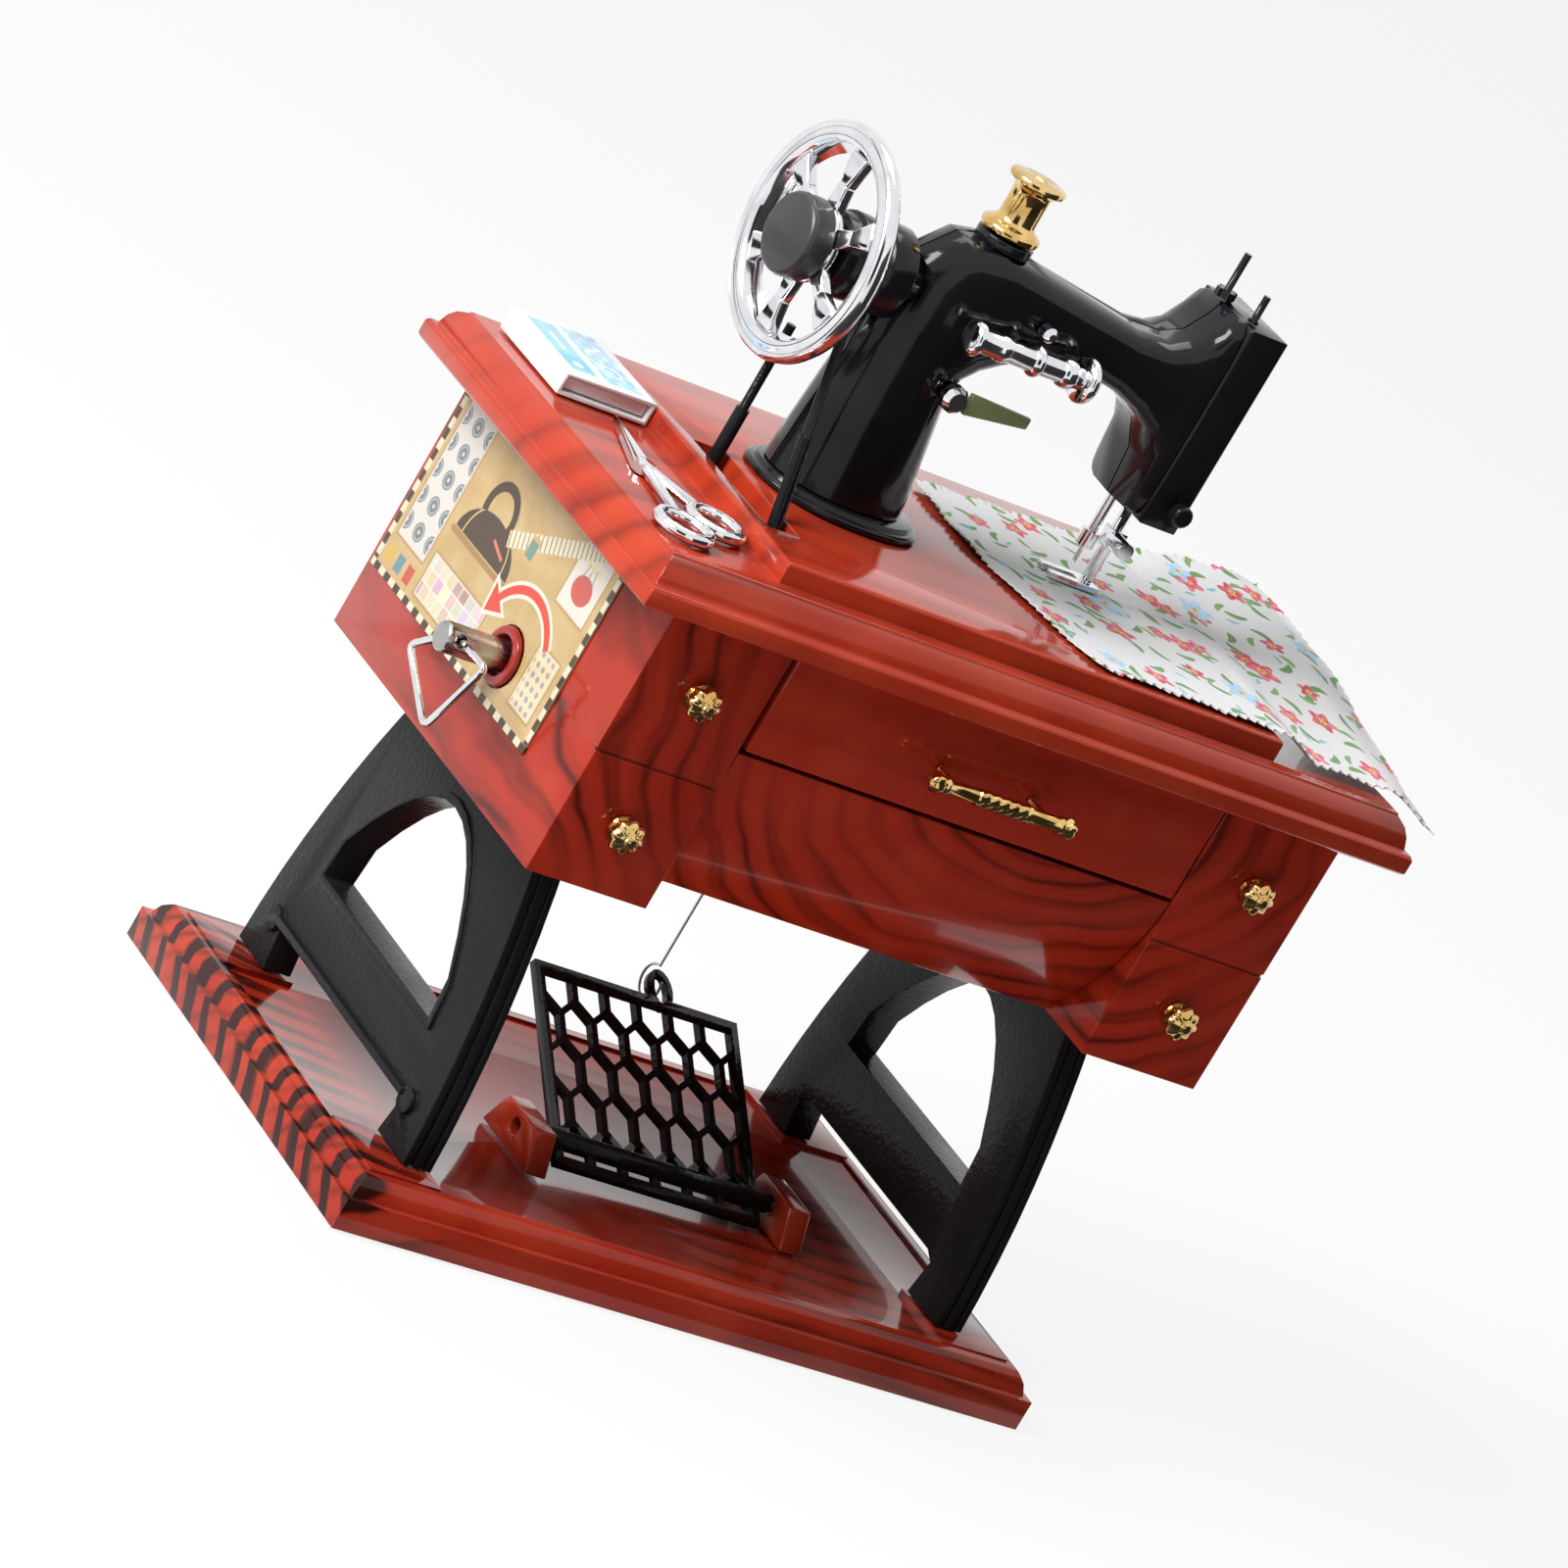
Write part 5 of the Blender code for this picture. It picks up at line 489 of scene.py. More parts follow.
def sewing_label(name):
    """A cream card of sewing things in its own layout, with a dashed border and the winding arrow."""
    low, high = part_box("side_label")
    finish = Finish(name, (0.70, 0.54, 0.30), 0.30, Coat_Weight=0.15, Coat_Roughness=0.08)
    where, x, y, z = finish.place()
    u, v = y - low.y, z - low.z
    wide, tall = high.y - low.y, high.z - low.z
    key_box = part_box("key_bush")
    key_u, key_v = (key_box[0].y + key_box[1].y) / 2 - low.y, (key_box[0].z + key_box[1].z) / 2 - low.z
    mottle = finish.noise(where, 180, 3.0).ramp(0.3, 0.7)
    grain = finish.noise(finish.vector(x, y * 0.3, z * 3.0), 320, 3.0).ramp(0.35, 0.7)
    art = finish.blend(mottle, (0.70, 0.52, 0.26), (0.60, 0.42, 0.18))
    art = finish.blend(grain * 0.25, art, (0.55, 0.36, 0.14))
    # Shelf lines and panels
    for centre_u, centre_v, half_u, half_v, tone in (
            (0.0512, 0.0185, 0.0048, 0.0118, (0.80, 0.78, 0.74)),
            (0.0350, 0.0060, 0.0095, 0.0036, (0.88, 0.80, 0.62)),
            (0.0075, 0.0250, 0.0046, 0.0052, (0.86, 0.82, 0.74)),
            (0.0062, 0.0085, 0.0034, 0.0050, (0.90, 0.78, 0.52))):
        art = finish.blend(bar(u, v, centre_u, centre_v, half_u, half_v), art, tone)
        edge = bar(u, v, centre_u, centre_v, half_u + 0.0004, half_v + 0.0004)
        art = finish.blend(edge - bar(u, v, centre_u, centre_v, half_u, half_v), art, (0.50, 0.33, 0.15))
    # Two columns of buttons on their card
    button_u = ((u - 0.0512) / 0.0044 + 0.5).part() * 0.0044 - 0.0022
    button_v = ((v - 0.0185) / 0.0046 + 0.5).part() * 0.0046 - 0.0023
    card = bar(u, v, 0.0512, 0.0185, 0.0044, 0.0114)
    art = finish.blend(disc(button_u, button_v, 0, 0, 0.00155) * card, art, (0.16, 0.22, 0.26))
    art = finish.blend(ring(button_u, button_v, 0, 0, 0.00115, 0.0003) * card, art, (0.45, 0.52, 0.55))
    art = finish.blend(disc(button_u, button_v, 0, 0, 0.00035) * card, art, (0.75, 0.72, 0.66))
    # A black flat iron on a stand
    base = disc(u, v, 0.0345, 0.0150, 0.0092, squash=1.55) * v.above(0.0150, 0.0001)
    grip = ring(u, v, 0.0352, 0.0215, 0.0042, 0.0016) * v.above(0.0195, 0.0001)
    art = finish.blend(bar(u, v, 0.0345, 0.0143, 0.0100, 0.0005), art, (0.42, 0.24, 0.10))
    art = finish.blend(base.greater(grip), art, (0.020, 0.020, 0.024))
    art = finish.blend(ring(u, v, 0.0345, 0.0150, 0.0070, 0.0003) * base, art, (0.75, 0.58, 0.26))
    art = finish.blend(bar(u, v, 0.0310, 0.0175, 0.0022, 0.0003, turn=0.3), art, (0.75, 0.20, 0.16))
    # Patchwork squares
    cell_u, cell_v = (u / 0.0024).floor(), (v / 0.0024).floor()
    cell = finish.vector(cell_u, cell_v, 0.0)
    dye = finish.add("TexWhiteNoise", {"noise_dimensions": "2D"}, {"Vector": cell})
    pastel = finish.add("HueSaturation", {}, {"Saturation": 0.55, "Value": 1.15, "Color": dye[1]})[0]
    pastel = finish.blend(0.45, pastel, (0.95, 0.62, 0.50))
    seam = (u / 0.0024).part().below(0.10, 0.02).greater((v / 0.0024).part().below(0.10, 0.02))
    quilt = bar(u, v, 0.0350, 0.0060, 0.0092, 0.0033)
    art = finish.blend(quilt, art, finish.blend(seam, pastel, (0.96, 0.92, 0.82)))
    # Measuring tape
    tape = bar(u, v, 0.0165, 0.0262, 0.0150, 0.0013, turn=TAPE_LEAN)
    tick_along = (u - 0.0165) * math.cos(TAPE_LEAN) + (v - 0.0262) * math.sin(TAPE_LEAN)
    tick = (tick_along / 0.0012).part().below(0.22, 0.03) * tape
    art = finish.blend(tape, art, (0.90, 0.84, 0.62))
    art = finish.blend(tick, art, (0.25, 0.18, 0.12))
    # Thread reels and a pincushion
    for centre_u, centre_v, tone in (
            (0.0480, 0.0035, (0.62, 0.08, 0.07)), (0.0515, 0.0035, (0.12, 0.30, 0.42)),
            (0.0550, 0.0035, (0.72, 0.48, 0.10)), (0.0235, 0.0218, (0.14, 0.34, 0.30))):
        art = finish.blend(bar(u, v, centre_u, centre_v, 0.0014, 0.0021), art, (0.68, 0.46, 0.22))
        art = finish.blend(bar(u, v, centre_u, centre_v, 0.0011, 0.0014), art, tone)
    art = finish.blend(disc(u, v, 0.0075, 0.0238, 0.0029, squash=1.3), art, (0.64, 0.09, 0.08))
    for lean in (-0.5, 0.0, 0.5):
        pin_u, pin_v = 0.0075 + lean * 0.0034, 0.0276
        shaft = bar(u, v, pin_u - lean * 0.0006, pin_v - 0.0012, 0.00012, 0.0014, turn=lean * 0.5)
        art = finish.blend(shaft, art, (0.25, 0.25, 0.25))
        art = finish.blend(disc(u, v, pin_u, pin_v, 0.0005), art, (0.85, 0.80, 0.35))
    # Beads on the small card
    bead_u, bead_v = (u / 0.0017).part() * 0.0017 - 0.00085, (v / 0.0017).part() * 0.0017 - 0.00085
    beads = disc(bead_u, bead_v, 0, 0, 0.0005) * bar(u, v, 0.0062, 0.0085, 0.0030, 0.0046)
    art = finish.blend(beads, art, (0.42, 0.40, 0.44))
    # Winding arrow
    across, along = u - key_u, v - key_v
    angle = finish.add("Math", {"operation": "ARCTAN2"}, {0: along, 1: across})[0]
    sweep = angle.above(ARROW_HEAD_ANGLE, 0.01) * angle.below(ARROW_TAIL_ANGLE, 0.01)
    arrow = ring(u, v, key_u, key_v, ARROW_RADIUS, 0.0014) * sweep
    cosine, sine = math.cos(ARROW_HEAD_ANGLE), math.sin(ARROW_HEAD_ANGLE)
    to_u, to_v = across - ARROW_RADIUS * cosine, along - ARROW_RADIUS * sine
    forward = to_u * sine - to_v * cosine
    aside = abs(to_u * cosine + to_v * sine)
    head = (forward + aside * 1.35).below(0.0036, 0.0001) * forward.above(-0.0002, 0.0001)
    halo = (forward + aside * 1.35).below(0.0046, 0.0001) * forward.above(-0.0008, 0.0001)
    halo = halo.greater(ring(u, v, key_u, key_v, ARROW_RADIUS, 0.0026) * sweep)
    art = finish.blend(halo, art, (0.95, 0.90, 0.78))
    art = finish.blend(arrow.greater(head), art, (0.80, 0.045, 0.030))
    # Dashed border
    margin = 0.0012
    rim = 1 - bar(u, v, wide / 2, tall / 2, wide / 2 - margin, tall / 2 - margin)
    near_side = bar(u, v, wide / 2, tall / 2, wide / 2, tall / 2 - margin)
    run = (v / 0.0037).part().below(0.5, 0.03) * near_side
    run = run.greater((u / 0.0037).part().below(0.5, 0.03) * (1 - near_side))
    art = finish.blend(rim, art, (0.88, 0.80, 0.60))
    art = finish.blend(rim * run, art, (0.012, 0.012, 0.012))
    finish.paint(color=finish.blend(LABEL_AGE, art, LABEL_TINT), roughness=mottle.ramp(0, 1, 0.26, 0.34))
    finish.bump(finish.noise(where, 900, 2.0), 0.00001, 0.3)
    return finish.material


def blue_sleeve(name):
    """White card sleeve with two blue printed panels and pale shapes in them."""
    low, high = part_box("needle_sleeve")
    finish = Finish(name, (0.85, 0.87, 0.87), 0.22, Coat_Weight=0.5, Coat_Roughness=0.05)
    where, x, y, z = finish.place()
    u, v = x - low.x, y - low.y
    on_top = z.above(high.z - 0.0003, 0.0001)
    mottle = finish.noise(where, 400, 3.0).ramp(0.35, 0.7)
    art = finish.blend(mottle, (0.88, 0.90, 0.90), (0.78, 0.83, 0.84))
    near = bar(u, v, 0.0043, 0.0108, 0.0025, 0.0086)
    far = bar(u, v, 0.0115, 0.0108, 0.0032, 0.0092)
    wash = finish.noise(where, 260, 2.0).ramp(0.3, 0.7)
    art = finish.blend(near * on_top, art, finish.blend(wash, (0.13, 0.42, 0.72), (0.22, 0.55, 0.82)))
    art = finish.blend(far * on_top, art, finish.blend(wash, (0.16, 0.44, 0.70), (0.34, 0.64, 0.84)))
    weave = ((u * 2100).sine() * (v * 1700).sine()).ramp(0.15, 0.6)
    art = finish.blend(weave * far * on_top * 0.6, art, (0.70, 0.84, 0.90))
    slash = bar(u, v, 0.0115, 0.0140, 0.0024, 0.0003, turn=0.6)
    dot = disc(u, v, 0.0043, 0.0050, 0.0009)
    line = bar(u, v, 0.0043, 0.0128, 0.0003, 0.0030)
    shapes = ring(u, v, 0.0115, 0.0070, 0.0018, 0.0004).greater(slash).greater(dot).greater(line)
    art = finish.blend(shapes * on_top, art, (0.92, 0.94, 0.92))
    finish.paint(color=art, roughness=mottle.ramp(0, 1, 0.18, 0.28))
    finish.bump(mottle, 0.00001, 0.3)
    return finish.material


THREAD_PITCH = 0.00042


def flowered_cotton(name):
    """White cotton scattered with small red, blue and yellow flowers and green leaves."""
    finish = Finish(name, (0.86, 0.84, 0.82), 0.85, Sheen_Weight=0.25, Sheen_Roughness=0.5)
    uv = finish.add("UVMap", {"uv_map": "cloth"}, {})[0]
    u, v = finish.add("SeparateXYZ", {}, {0: uv})[:2]
    weave = 2 * math.pi / THREAD_PITCH
    thread = ((u * weave).sine() * (v * weave).sine()) * 0.5 + 0.5
    art = finish.blend(thread, (0.64, 0.63, 0.64), (0.74, 0.73, 0.74))

    def scatter(pitch, shift, jitter):
        spot = finish.vector(u + shift, v - shift * 0.6, 0.0)
        cells = finish.tree.nodes.new("ShaderNodeTexVoronoi")
        cells.voronoi_dimensions = "2D"
        cells.inputs["Scale"].default_value = 1 / pitch
        cells.inputs["Randomness"].default_value = jitter
        finish.put(cells.inputs["Vector"], spot)
        home = finish.add("SeparateXYZ", {}, {0: Mark(finish, cells.outputs["Position"])})
        chance = finish.add("SeparateColor", {}, {0: Mark(finish, cells.outputs["Color"])})
        return (u + shift) - home[0], (v - shift * 0.6) - home[1], chance

    def leaves(art, pitch, shift, tone, size):
        du, dv, chance = scatter(pitch, shift, 0.85)
        lean = chance[0] * 6.28
        cosine = (lean + math.pi / 2).sine()
        sine = lean.sine()
        along, across = du * cosine + dv * sine, dv * cosine - du * sine
        across = across + along * along * 150
        leaf = (along * along) * (1 / size ** 2) + (across * across) * (1 / (size * 0.34) ** 2)
        return finish.blend(leaf.below(1.0, 0.15) * chance[1].below(0.82), art, tone)

    art = leaves(art, 0.0072, 0.013, (0.10, 0.26, 0.055), 0.0021)
    art = leaves(art, 0.0088, 0.047, (0.16, 0.32, 0.09), 0.0017)
    art = leaves(art, 0.0098, 0.081, (0.22, 0.46, 0.52), 0.0012)
    for pitch, shift, size, first, second, share in (
            (0.0118, 0.021, 0.0034, (0.50, 0.008, 0.045), (0.60, 0.020, 0.085), 0.82),
            (0.0165, 0.063, 0.0042, (0.30, 0.56, 0.78), (0.62, 0.020, 0.060), 0.55)):
        du, dv, chance = scatter(pitch, shift, 0.70)
        reach = (du * du + dv * dv).root()
        angle = finish.add("Math", {"operation": "ARCTAN2"}, {0: dv, 1: du})[0]
        petals = (angle * 5 + chance[2] * 6).sine() * 0.20 + 0.80
        size_here = petals * (size * 0.6 + chance[1] * (size * 0.4))
        there = chance[0].below(share)
        shade = finish.noise(finish.vector(u, v, 0.0), 700, 2.0).ramp(0.40, 0.62)
        tone = finish.blend(chance[2].below(0.6), second, first)
        tone = finish.blend(shade * 0.22, tone, (0.95, 0.82, 0.84))
        art = finish.blend((reach / size_here).below(1.0, 0.05) * there, art, tone)
        art = finish.blend((reach / size_here).below(0.30, 0.06) * there, art, (0.80, 0.52, 0.04))
        art = finish.blend((reach / size_here).below(0.12, 0.05) * there, art, (0.35, 0.02, 0.03))
    finish.paint(color=art, roughness=thread.ramp(0, 1, 0.78, 0.92))
    finish.bump(thread, 0.00006, 0.5)
    return finish.material


# Cloth
CLOTH_FLAT = (0.076, 0.060)
CLOTH_COLUMNS, CLOTH_ROWS = 190, 150
CLOTH_THICKNESS = 0.00028
CLOTH_FRONT_Y, CLOTH_REAR_LEFT_Y, CLOTH_REAR_RIGHT_Y = -0.0330, 0.0225, 0.0265
CLOTH_FRONT_LEFT_X, CLOTH_REAR_LEFT_X, CLOTH_LEFT_BULGE = 0.0104, 0.0050, 0.0035
CLOTH_RIGHT_X, CLOTH_REAR_RIGHT_X = 0.0815, 0.0755
CLOTH_DROOP, CLOTH_LIFT = 0.0050, 0.0018
TOOTH_PITCH, TOOTH_DEPTH = 0.0020, 0.0008
PINKED_WIDTH, CURL_HEIGHT = 0.0012, 0.0004
DECK_RIGHT_X, DECK_HEIGHT, EDGE_X = 0.0460, 0.0035, 0.0697
DECK_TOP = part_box("tabletop")[1].z


def cloth_height(x, y):
    """Underside of the cloth: on the deck, then down to the tabletop and over its right end."""
    high, low = DECK_TOP + 0.0004, DECK_TOP - DECK_HEIGHT + 0.0007
    off_deck = min(max((x - DECK_RIGHT_X - 0.0006) / (EDGE_X - DECK_RIGHT_X), 0), 1)
    front = min(max((CLOTH_REAR_LEFT_Y - y) / (CLOTH_REAR_LEFT_Y - CLOTH_FRONT_Y), 0), 1)
    step = min(off_deck * 2.6, 1)
    step = step * step * (3 - 2 * step)
    z = high + (low - high) * step * front
    beyond = max((x - EDGE_X - 0.0003) / (CLOTH_RIGHT_X - EDGE_X), 0)
    z -= CLOTH_DROOP * beyond ** 1.5 * front
    z += CLOTH_LIFT * (1 - front) * off_deck
    ripple = math.sin(x * 190 + y * 60) * 0.00030 + math.sin(x * 95 - y * 170 + 1.0) * 0.00035
    return z + (ripple + 0.00065) * min(off_deck * 4, 1) * (0.25 + 0.75 * min(1.4 - front, 1))


def tooth(along):
    """Zigzag of the pinked edge at a length along it."""
    return (abs((along / TOOTH_PITCH) % 1 * 2 - 1) - 0.5) * TOOTH_DEPTH


def build_cloth(material):
    deselect()
    bpy.ops.mesh.primitive_grid_add(x_subdivisions=CLOTH_COLUMNS, y_subdivisions=CLOTH_ROWS, size=1,
                                    location=(0, 0, 0))
    cloth = bpy.context.object
    cloth.name = "flowered_cloth"
    cloth.data.uv_layers.active.name = "cloth"
    wide, deep = CLOTH_FLAT
    flat = {}
    for vertex in cloth.data.vertices:
        u, v = vertex.co.x + 0.5, vertex.co.y + 0.5
        flat[vertex.index] = (u * wide, v * deep)
        rear = CLOTH_REAR_LEFT_Y + (CLOTH_REAR_RIGHT_Y - CLOTH_REAR_LEFT_Y) * min(u * 1.3, 1)
        left = CLOTH_FRONT_LEFT_X + (CLOTH_REAR_LEFT_X - CLOTH_FRONT_LEFT_X) * v
        left -= CLOTH_LEFT_BULGE * math.sin(math.pi * v)
        right = CLOTH_RIGHT_X + (CLOTH_REAR_RIGHT_X - CLOTH_RIGHT_X) * v
        x = left + (right - left) * u
        y = CLOTH_FRONT_Y + (rear - CLOTH_FRONT_Y) * v
        edge_x = max(1 - min(u, 1 - u) * wide / PINKED_WIDTH, 0)
        edge_y = max(1 - min(v, 1 - v) * deep / PINKED_WIDTH, 0)
        x += tooth(v * deep) * edge_x * (1 if u > 0.5 else -1)
        y += tooth(u * wide) * edge_y * (1 if v > 0.5 else -1)
        curl = CURL_HEIGHT * (edge_x + edge_y) * abs(math.sin(x * 300 + y * 220))
        vertex.co = (x, y, cloth_height(x, y) + CLOTH_THICKNESS + curl)
    uvs = cloth.data.uv_layers["cloth"].data
    for loop in cloth.data.loops:
        uvs[loop.index].uv = flat[loop.vertex_index]
    thick = cloth.modifiers.new("thickness", "SOLIDIFY")
    thick.thickness = CLOTH_THICKNESS
    thick.offset = -1
    hold(cloth)
    bpy.ops.object.modifier_apply(modifier=thick.name)
    dress(cloth, "sewn_cloth", material, 60)


# Turned and moulded trim
def spun(name, profile, centre, axis, steps=32, closed=False):
    """Spin a profile of (radius, along) points round a line through a centre."""
    deselect()
    mesh = bpy.data.meshes.new(name)
    item = bpy.data.objects.new(name, mesh)
    bpy.context.scene.collection.objects.link(item)
    side = Vector((0, 0, 1)) if abs(axis.z) < 0.5 else Vector((1, 0, 0))
    points = [centre + side * radius + axis * along for radius, along in profile]
    edges = [(i, i + 1) for i in range(len(points) - 1)]
    if closed:
        edges.append((len(points) - 1, 0))
    mesh.from_pydata(points, edges, [])
    hold(item)
    bpy.ops.object.mode_set(mode="EDIT")
    bpy.ops.mesh.select_all(action="SELECT")
    bpy.ops.mesh.spin(steps=steps, angle=2 * math.pi, center=centre, axis=axis, use_auto_merge=True)
    bpy.ops.mesh.select_all(action="SELECT")
    bpy.ops.mesh.remove_doubles(threshold=0.000002)
    bpy.ops.mesh.normals_make_consistent(inside=False)
    bpy.ops.object.mode_set(mode="OBJECT")
    return item


def joined(pieces, name):
    hold(pieces[0])
    for piece in pieces[1:]:
        piece.select_set(True)
    bpy.ops.object.join()
    pieces[0].name = name
    return pieces[0]


KNOB_PROFILE = ((0.0, -0.00415), (0.0006, -0.0041), (0.0010, -0.0038), (0.00105, -0.0036), (0.0014, -0.0034),
                (0.0021, -0.0031), (0.00262, -0.0025), (0.00275, -0.0020), (0.0026, -0.0016),
                (0.0021, -0.0013),
                (0.0016, -0.00115), (0.0015, -0.0008), (0.0023, -0.00045), (0.0024, -0.0001), (0.0022, 0.0),
                (0.0, 0.0))
KNOB_LOBES = 8
LOBE_HEIGHT_SHARE = 0.10


def build_knob(node, material):
    """A gold knob with eight lobes, a raised ring and a button in its middle."""
    low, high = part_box(node)
    centre = Vector(((low.x + high.x) / 2, high.y, (low.z + high.z) / 2))
    knob = spun(node + "_turned", KNOB_PROFILE, centre, Vector((0, 1, 0)), 48)
    for vertex in knob.data.vertices:
        out = Vector((vertex.co.x - centre.x, 0, vertex.co.z - centre.z))
        depth = centre.y - vertex.co.y
        swell = LOBE_HEIGHT_SHARE * min(max((depth - 0.0012) / 0.001, 0), 1)
        lobe = math.cos(KNOB_LOBES * math.atan2(out.z, out.x)) * swell
        vertex.co.x += out.x * lobe
        vertex.co.z += out.z * lobe
    return dress(knob, node, material, 50)


def build_drawer_handle(material):
    """A gold bar with a roped middle, plain necks and leaf-wrapped ends on two posts."""
    low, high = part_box("drawer_handle")
    middle = Vector(((low.x + high.x) / 2, low.y + (high.z - low.z) / 2, (low.z + high.z) / 2))
    half = (high.x - low.x) / 2
    profile = [(0.0, -half), (0.0008, -half + 0.0001), (0.0013, -half + 0.0006), (0.0016, -half + 0.0013),
               (0.0015, -half + 0.0021), (0.0011, -half + 0.0026), (0.0014, -half + 0.0030),
               (0.0014, -half + 0.0034), (0.0011, -half + 0.0037), (0.00115, -0.0052), (0.0014, -0.0050),
               (0.0014, -0.0046), (0.0012, -0.0044)]
    rope = [(0.0012, -0.0044 + 0.0088 * i / 40) for i in range(1, 40)]
    profile = profile + rope + [(radius, -along) for radius, along in profile[::-1]]
    grip = spun("handle_grip", profile, middle, Vector((1, 0, 0)), 36)
    for vertex in grip.data.vertices:
        along = vertex.co.x - middle.x
        out = Vector((0, vertex.co.y - middle.y, vertex.co.z - middle.z))
        angle = math.atan2(out.z, out.y)
        if abs(along) < 0.0045:
            swell = 0.20 * (0.5 + 0.5 * math.cos(3 * angle + along * 2 * math.pi / 0.0022 * 1.2)) ** 0.6
            vertex.co += out * swell
        elif abs(along) > half - 0.0024:
            vertex.co += out * 0.10 * math.cos(5 * angle + along * 900)
    posts = []
    for sign in (-1, 1):
        foot = Vector((middle.x + sign * half * 0.62, high.y, middle.z))
        reach = high.y - middle.y
        outline = [(0.0, -reach), (0.0007, -reach), (0.0007, -0.0006), (0.0009, -0.0003), (0.0009, 0.0),
                   (0.0, 0.0)]
        posts.append(spun("handle_post", outline, foot, Vector((0, 1, 0)), 20))
    return dress(joined([grip, *posts], "drawer_handle_roped"), "drawer_handle", material, 50)


RIM_PROFILE = ((0.0140, 0.0033), (0.0141, 0.0029), (0.0150, 0.0009), (0.0154, 0.0003), (0.0160, 0.0),
               (0.0166, 0.0001), (0.0170, 0.0004), (0.0174, 0.0004), (0.0178, 0.0001), (0.0182, 0.0003),
               (0.0185, 0.0011), (0.0184, 0.0019), (0.0179, 0.0027), (0.0170, 0.0033), (0.0160, 0.0034),
               (0.0148, 0.0034))
HUB_PROFILE = ((0.0, 0.0003), (0.0056, 0.0003), (0.0061, 0.0007), (0.0062, 0.0013), (0.0060, 0.0020),
               (0.0052, 0.0026), (0.0044, 0.0030), (0.0036, 0.0034), (0.0, 0.0034))
SPOKE_COUNT = 6
SPOKE_DEPTH = 0.0020
SPOKE_STRETCHES = (("wheel_spoke", 0.0052, 0.0098, 0.0034, 0.0023),
                   ("wheel_spoke_end", 0.0094, 0.0146, 0.0023, 0.0046))


def tapered_bar(name, start, end, side, width_start, width_end, depth):
    """A bar between two places, wider at one end, with softened edges."""
    deselect()
    bpy.ops.mesh.primitive_cube_add(size=2, location=(0, 0, 0))
    item = bpy.context.object
    item.name = name
    along = (end - start).normalized()
    across = along.cross(side)
    for vertex in item.data.vertices:
        far = vertex.co.z > 0
        place = end if far else start
        width = width_end if far else width_start
        vertex.co = place + across * (vertex.co.x * width / 2) + side * (vertex.co.y * depth / 2)
    hold(item)
    bpy.ops.object.mode_set(mode="EDIT")
    bpy.ops.mesh.select_all(action="SELECT")
    bpy.ops.mesh.normals_make_consistent(inside=False)
    bpy.ops.object.mode_set(mode="OBJECT")
    round_edges(item, 0.0005, 3)
    return item


def build_handwheel(material):
    """A plated wheel with a grooved round rim, six flared spokes and a coned hub."""
    low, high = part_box("handwheel")
    face = Vector((low.x, (low.y + high.y) / 2, (low.z + high.z) / 2))
    outward = Vector((1, 0, 0))
    pieces = [spun("wheel_rim", RIM_PROFILE, face, outward, 96, True),
              spun("wheel_hub", HUB_PROFILE, face, outward, 48)]
    for i in range(SPOKE_COUNT):
        angle = 2 * math.pi * (i + 0.5) / SPOKE_COUNT
        away = Vector((0, math.cos(angle), math.sin(angle)))
        middle = face + outward * 0.0016
        for part, near, far, width_near, width_far in SPOKE_STRETCHES:
            pieces.append(tapered_bar(part, middle + away * near, middle + away * far, outward, width_near,
                                      width_far, SPOKE_DEPTH))
    return dress(joined(pieces, "handwheel_plated"), "handwheel", material, 45)


SPOOL_PROFILE = ((0.0, 0.0), (0.0042, 0.0), (0.0047, 0.0003), (0.0048, 0.0008), (0.0046, 0.0013),
                 (0.0038, 0.0018),
                 (0.0032, 0.0022), (0.0030, 0.0028), (0.0030, 0.0070), (0.0032, 0.0076), (0.0038, 0.0081),
                 (0.0045, 0.0085), (0.0046, 0.0090), (0.0044, 0.0094), (0.0036, 0.0096), (0.0016, 0.0096),
                 (0.0012, 0.0098), (0.0010, 0.0100), (0.0, 0.0100))


def build_thread_spool(material):
    """A plated spool with a straight barrel between two thick flanges."""
    low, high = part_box("thread_spool")
    foot = Vector(((low.x + high.x) / 2, (low.y + high.y) / 2, low.z))
    spool = spun("thread_spool_turned", SPOOL_PROFILE, foot, Vector((0, 0, 1)), 48)
    return dress(spool, "thread_spool", material, 45)


WINDER_PEG_ALONG, WINDER_PEG_RADIUS, WINDER_MIDDLE = 0.0120, 0.0010, 0.0036
WINDER_PROFILE = ((0.0, 0.0), (0.0019, 0.0), (0.0026, 0.0003), (0.0028, 0.0008), (0.0027, 0.0014),
                  (0.0019, 0.0019),
                  (0.0018, 0.0052), (0.0020, 0.0055), (0.0021, 0.0062), (0.0020, 0.0069), (0.0018, 0.0073),
                  (0.00175, 0.0116), (0.0021, 0.0119), (0.0024, 0.0124), (0.0024, 0.0129), (0.0021, 0.0133),
                  (0.00175, 0.0136), (0.0017, 0.0174), (0.0021, 0.0177), (0.0023, 0.0184), (0.0023, 0.0192),
                  (0.0021, 0.0197), (0.0017, 0.0200), (0.0017, 0.0212), (0.0033, 0.0215), (0.0036, 0.0219),
                  (0.0036, 0.0225), (0.0033, 0.0229), (0.0025, 0.0232), (0.0020, 0.0235), (0.0, 0.0235))


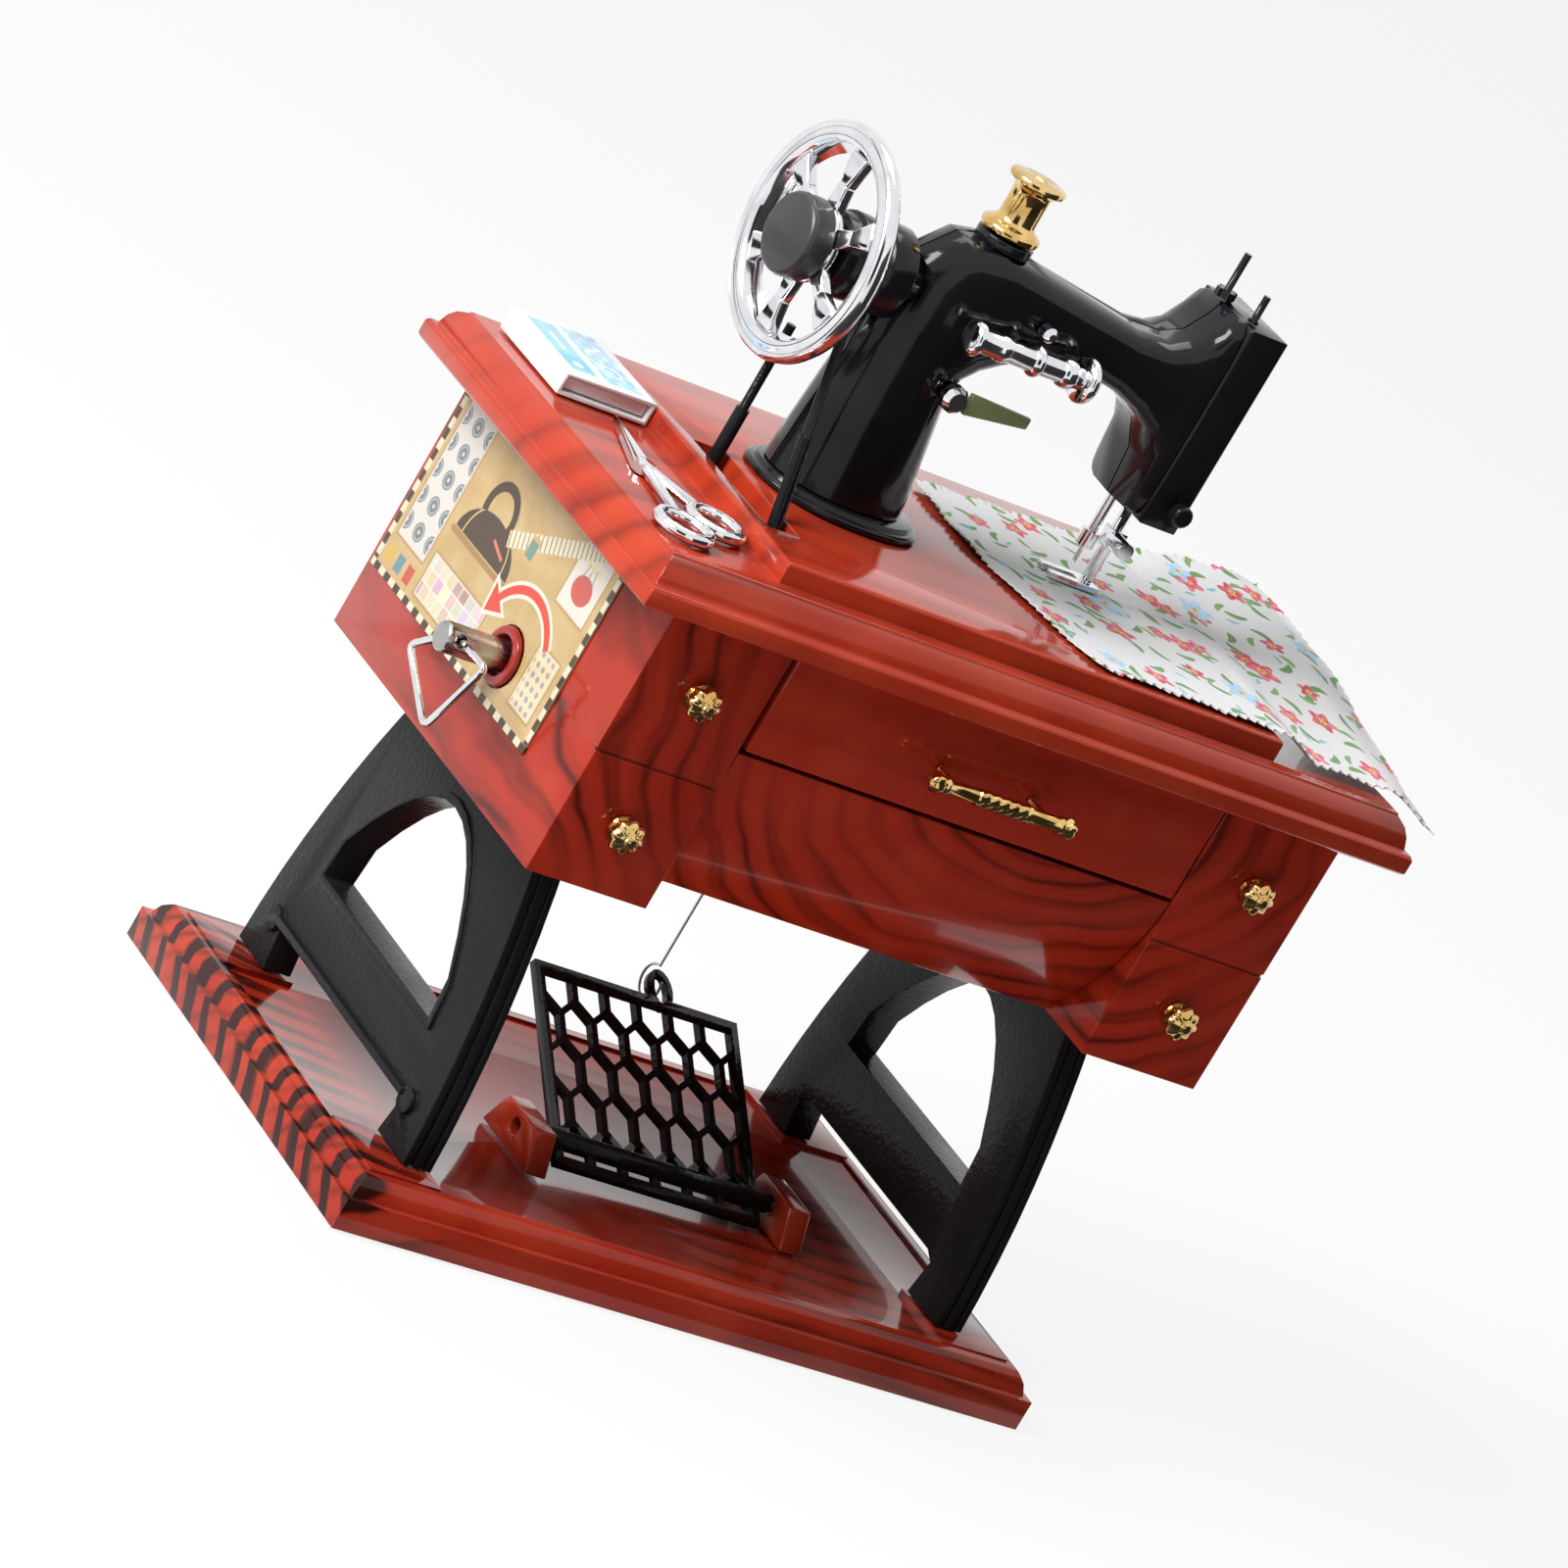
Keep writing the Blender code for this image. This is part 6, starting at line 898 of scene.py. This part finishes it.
def build_bobbin_winder(material):
    """The plated winder across the arm: ball end, ringed barrel and a flange, on its peg."""
    low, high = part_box("bobbin_winder")
    middle = Vector((low.x, low.y + WINDER_MIDDLE, (low.z + high.z) / 2))
    barrel = spun("winder_barrel", WINDER_PROFILE, middle, Vector((1, 0, 0)), 40)
    foot = Vector((low.x + WINDER_PEG_ALONG, high.y, middle.z))
    reach = middle.y - high.y
    outline = [(0.0, reach), (WINDER_PEG_RADIUS, reach), (WINDER_PEG_RADIUS, 0.0), (0.0, 0.0)]
    peg = spun("winder_peg", outline, foot, Vector((0, 1, 0)), 20)
    return dress(joined([barrel, peg], "bobbin_winder_turned"), "bobbin_winder", material, 45)


PLAIN_SMOOTH, SHELL_SMOOTH = 35, 58


def main():
    set_camera()
    build_studio()
    build_floor()
    base_red = striped_red("base_red_grain")
    front_red = grained_red("front_red_grain", (0.014, -0.040, 0.100), (1.0, 0.5, 1.35), 0.0056, 0.90,
                            warmth=-0.25, wave=0.013)
    top_red = grained_red("top_red_grain", (0.02, -0.30, -0.05), (0.12, 1.0, 1.0), 0.0085, 0.55,
                          warmth=0.25, wave=0.006, breadth=0.4, seed=3.0)
    drawer_red = grained_red("drawer_red_grain", (0.02, -0.2, -0.10), (0.10, 0.4, 1.0), 0.0075, 0.55,
                             warmth=-0.2, wave=0.008, breadth=0.5, seed=7.0)
    block_red = grained_red("block_red_grain", (0.0, 0.02, 0.0), (1.0, 1.0, 1.0), 0.008, 0.3, 0.3)
    black_leg = cast_black("leg_black", 0.00004, 1100, 0.20)
    black_gloss = gloss_black("machine_black")
    chrome = plated("bright_chrome", (0.84, 0.84, 0.86), (0.74, 0.74, 0.77), 0.04)
    gold = plated("bright_gold", (0.86, 0.62, 0.26), (0.62, 0.38, 0.12))
    brass = brushed("plain_brass", (0.78, 0.60, 0.34), (0.50, 0.34, 0.16))
    dark_steel = brushed("key_barrel_steel", (0.55, 0.54, 0.53), (0.34, 0.33, 0.32), 0.24)
    steel = brushed("plain_steel", (0.66, 0.66, 0.67), (0.40, 0.40, 0.42))
    grey_cap = plain_plastic("hub_grey", (0.016, 0.016, 0.018), (0.024, 0.024, 0.026), 0.42)
    olive = plain_plastic("lever_olive", (0.16, 0.22, 0.08), (0.24, 0.28, 0.12), 0.35)
    bush_red = plain_plastic("bush_red", (0.33, 0.020, 0.012), (0.22, 0.012, 0.008), 0.25)
    label = sewing_label("sewing_label")
    sleeve = blue_sleeve("blue_sleeve")
    white = plain_plastic("tray_white", (0.85, 0.87, 0.87), (0.78, 0.81, 0.82), 0.2)
    # Each node's material, the width of its rounded edges and their segments
    finishes = {
        "base_plinth": (base_red, 0.0004, 3), "cabinet_body": (front_red, 0.0004, 3),
        "cabinet_floor_left": (block_red, 0, 1), "cabinet_floor_middle": (block_red, 0, 1),
        "cabinet_floor_right": (block_red, 0, 1), "apron_panel": (front_red, 0.0002, 2),
        "drawer_front": (drawer_red, 0.0004, 3), "drawer_box": (block_red, 0.0002, 1),
        "tabletop": (top_red, 0.0003, 2), "treadle_bearing_left": (block_red, 0.0003, 2),
        "treadle_bearing_right": (block_red, 0.0003, 2), "leg_frame_left": (black_leg, 0.0004, 3),
        "leg_frame_right": (black_leg, 0.0004, 3), "treadle": (black_leg, 0, 1),
        "pull_wire": (steel, 0, 1), "side_label": (label, 0, 1), "key_bush": (bush_red, 0.0003, 2),
        "winding_key": (dark_steel, 0.0002, 2), "winding_arbor": (steel, 0.0001, 1),
        "key_ring": (chrome, 0, 1), "movement_bedplate": (steel, 0.0001, 1),
        "spring_barrel": (brass, 0.0001, 1), "music_cylinder": (brass, 0, 1), "tone_comb": (steel, 0, 1),
        "governor": (brass, 0, 1), "foot_screw_left_front": (steel, 0, 1),
        "foot_screw_left_rear": (steel, 0, 1), "foot_screw_right_front": (steel, 0, 1),
        "foot_screw_right_rear": (steel, 0, 1), "needle_sleeve": (sleeve, 0.0002, 2),
        "needle_tray": (white, 0.0002, 2),
        "scissors": (chrome, 0, 1), "column_flange": (black_gloss, 0.0003, 2),
        "machine_front_shell": (black_gloss, 0, 1), "machine_rear_shell": (black_gloss, 0, 1),
        "face_cover": (black_gloss, 0.0003, 3), "face_screw": (black_gloss, 0.0002, 2),
        "rear_thread_pin": (black_gloss, 0, 1), "front_thread_pin": (black_gloss, 0, 1),
        "wheel_hub_cap": (grey_cap, 0.0003, 2), "wheel_shaft": (steel, 0, 1),
        "wheel_boss": (black_gloss, 0.0003, 2), "rear_belt_rod": (black_leg, 0, 1),
        "front_belt_rod": (black_leg, 0, 1), "spool_seat": (black_gloss, 0.0002, 2),
        "tension_stud": (chrome, 0, 1), "stitch_nut": (chrome, 0, 1),
        "stitch_lever": (olive, 0.0002, 2), "needle_bar": (chrome, 0, 1), "presser_foot": (chrome, 0.0001, 1)}
    for node, (material, width, segments) in finishes.items():
        refined(node, material, width, segments, SHELL_SMOOTH if node.startswith("machine") else PLAIN_SMOOTH)
    for node in ("knob_left_upper", "knob_left_lower", "knob_right_upper", "knob_right_lower"):
        build_knob(node, gold)
    build_drawer_handle(gold)
    build_handwheel(chrome)
    build_bobbin_winder(chrome)
    build_thread_spool(gold)
    build_cloth(flowered_cotton("flowered_cotton"))


main()
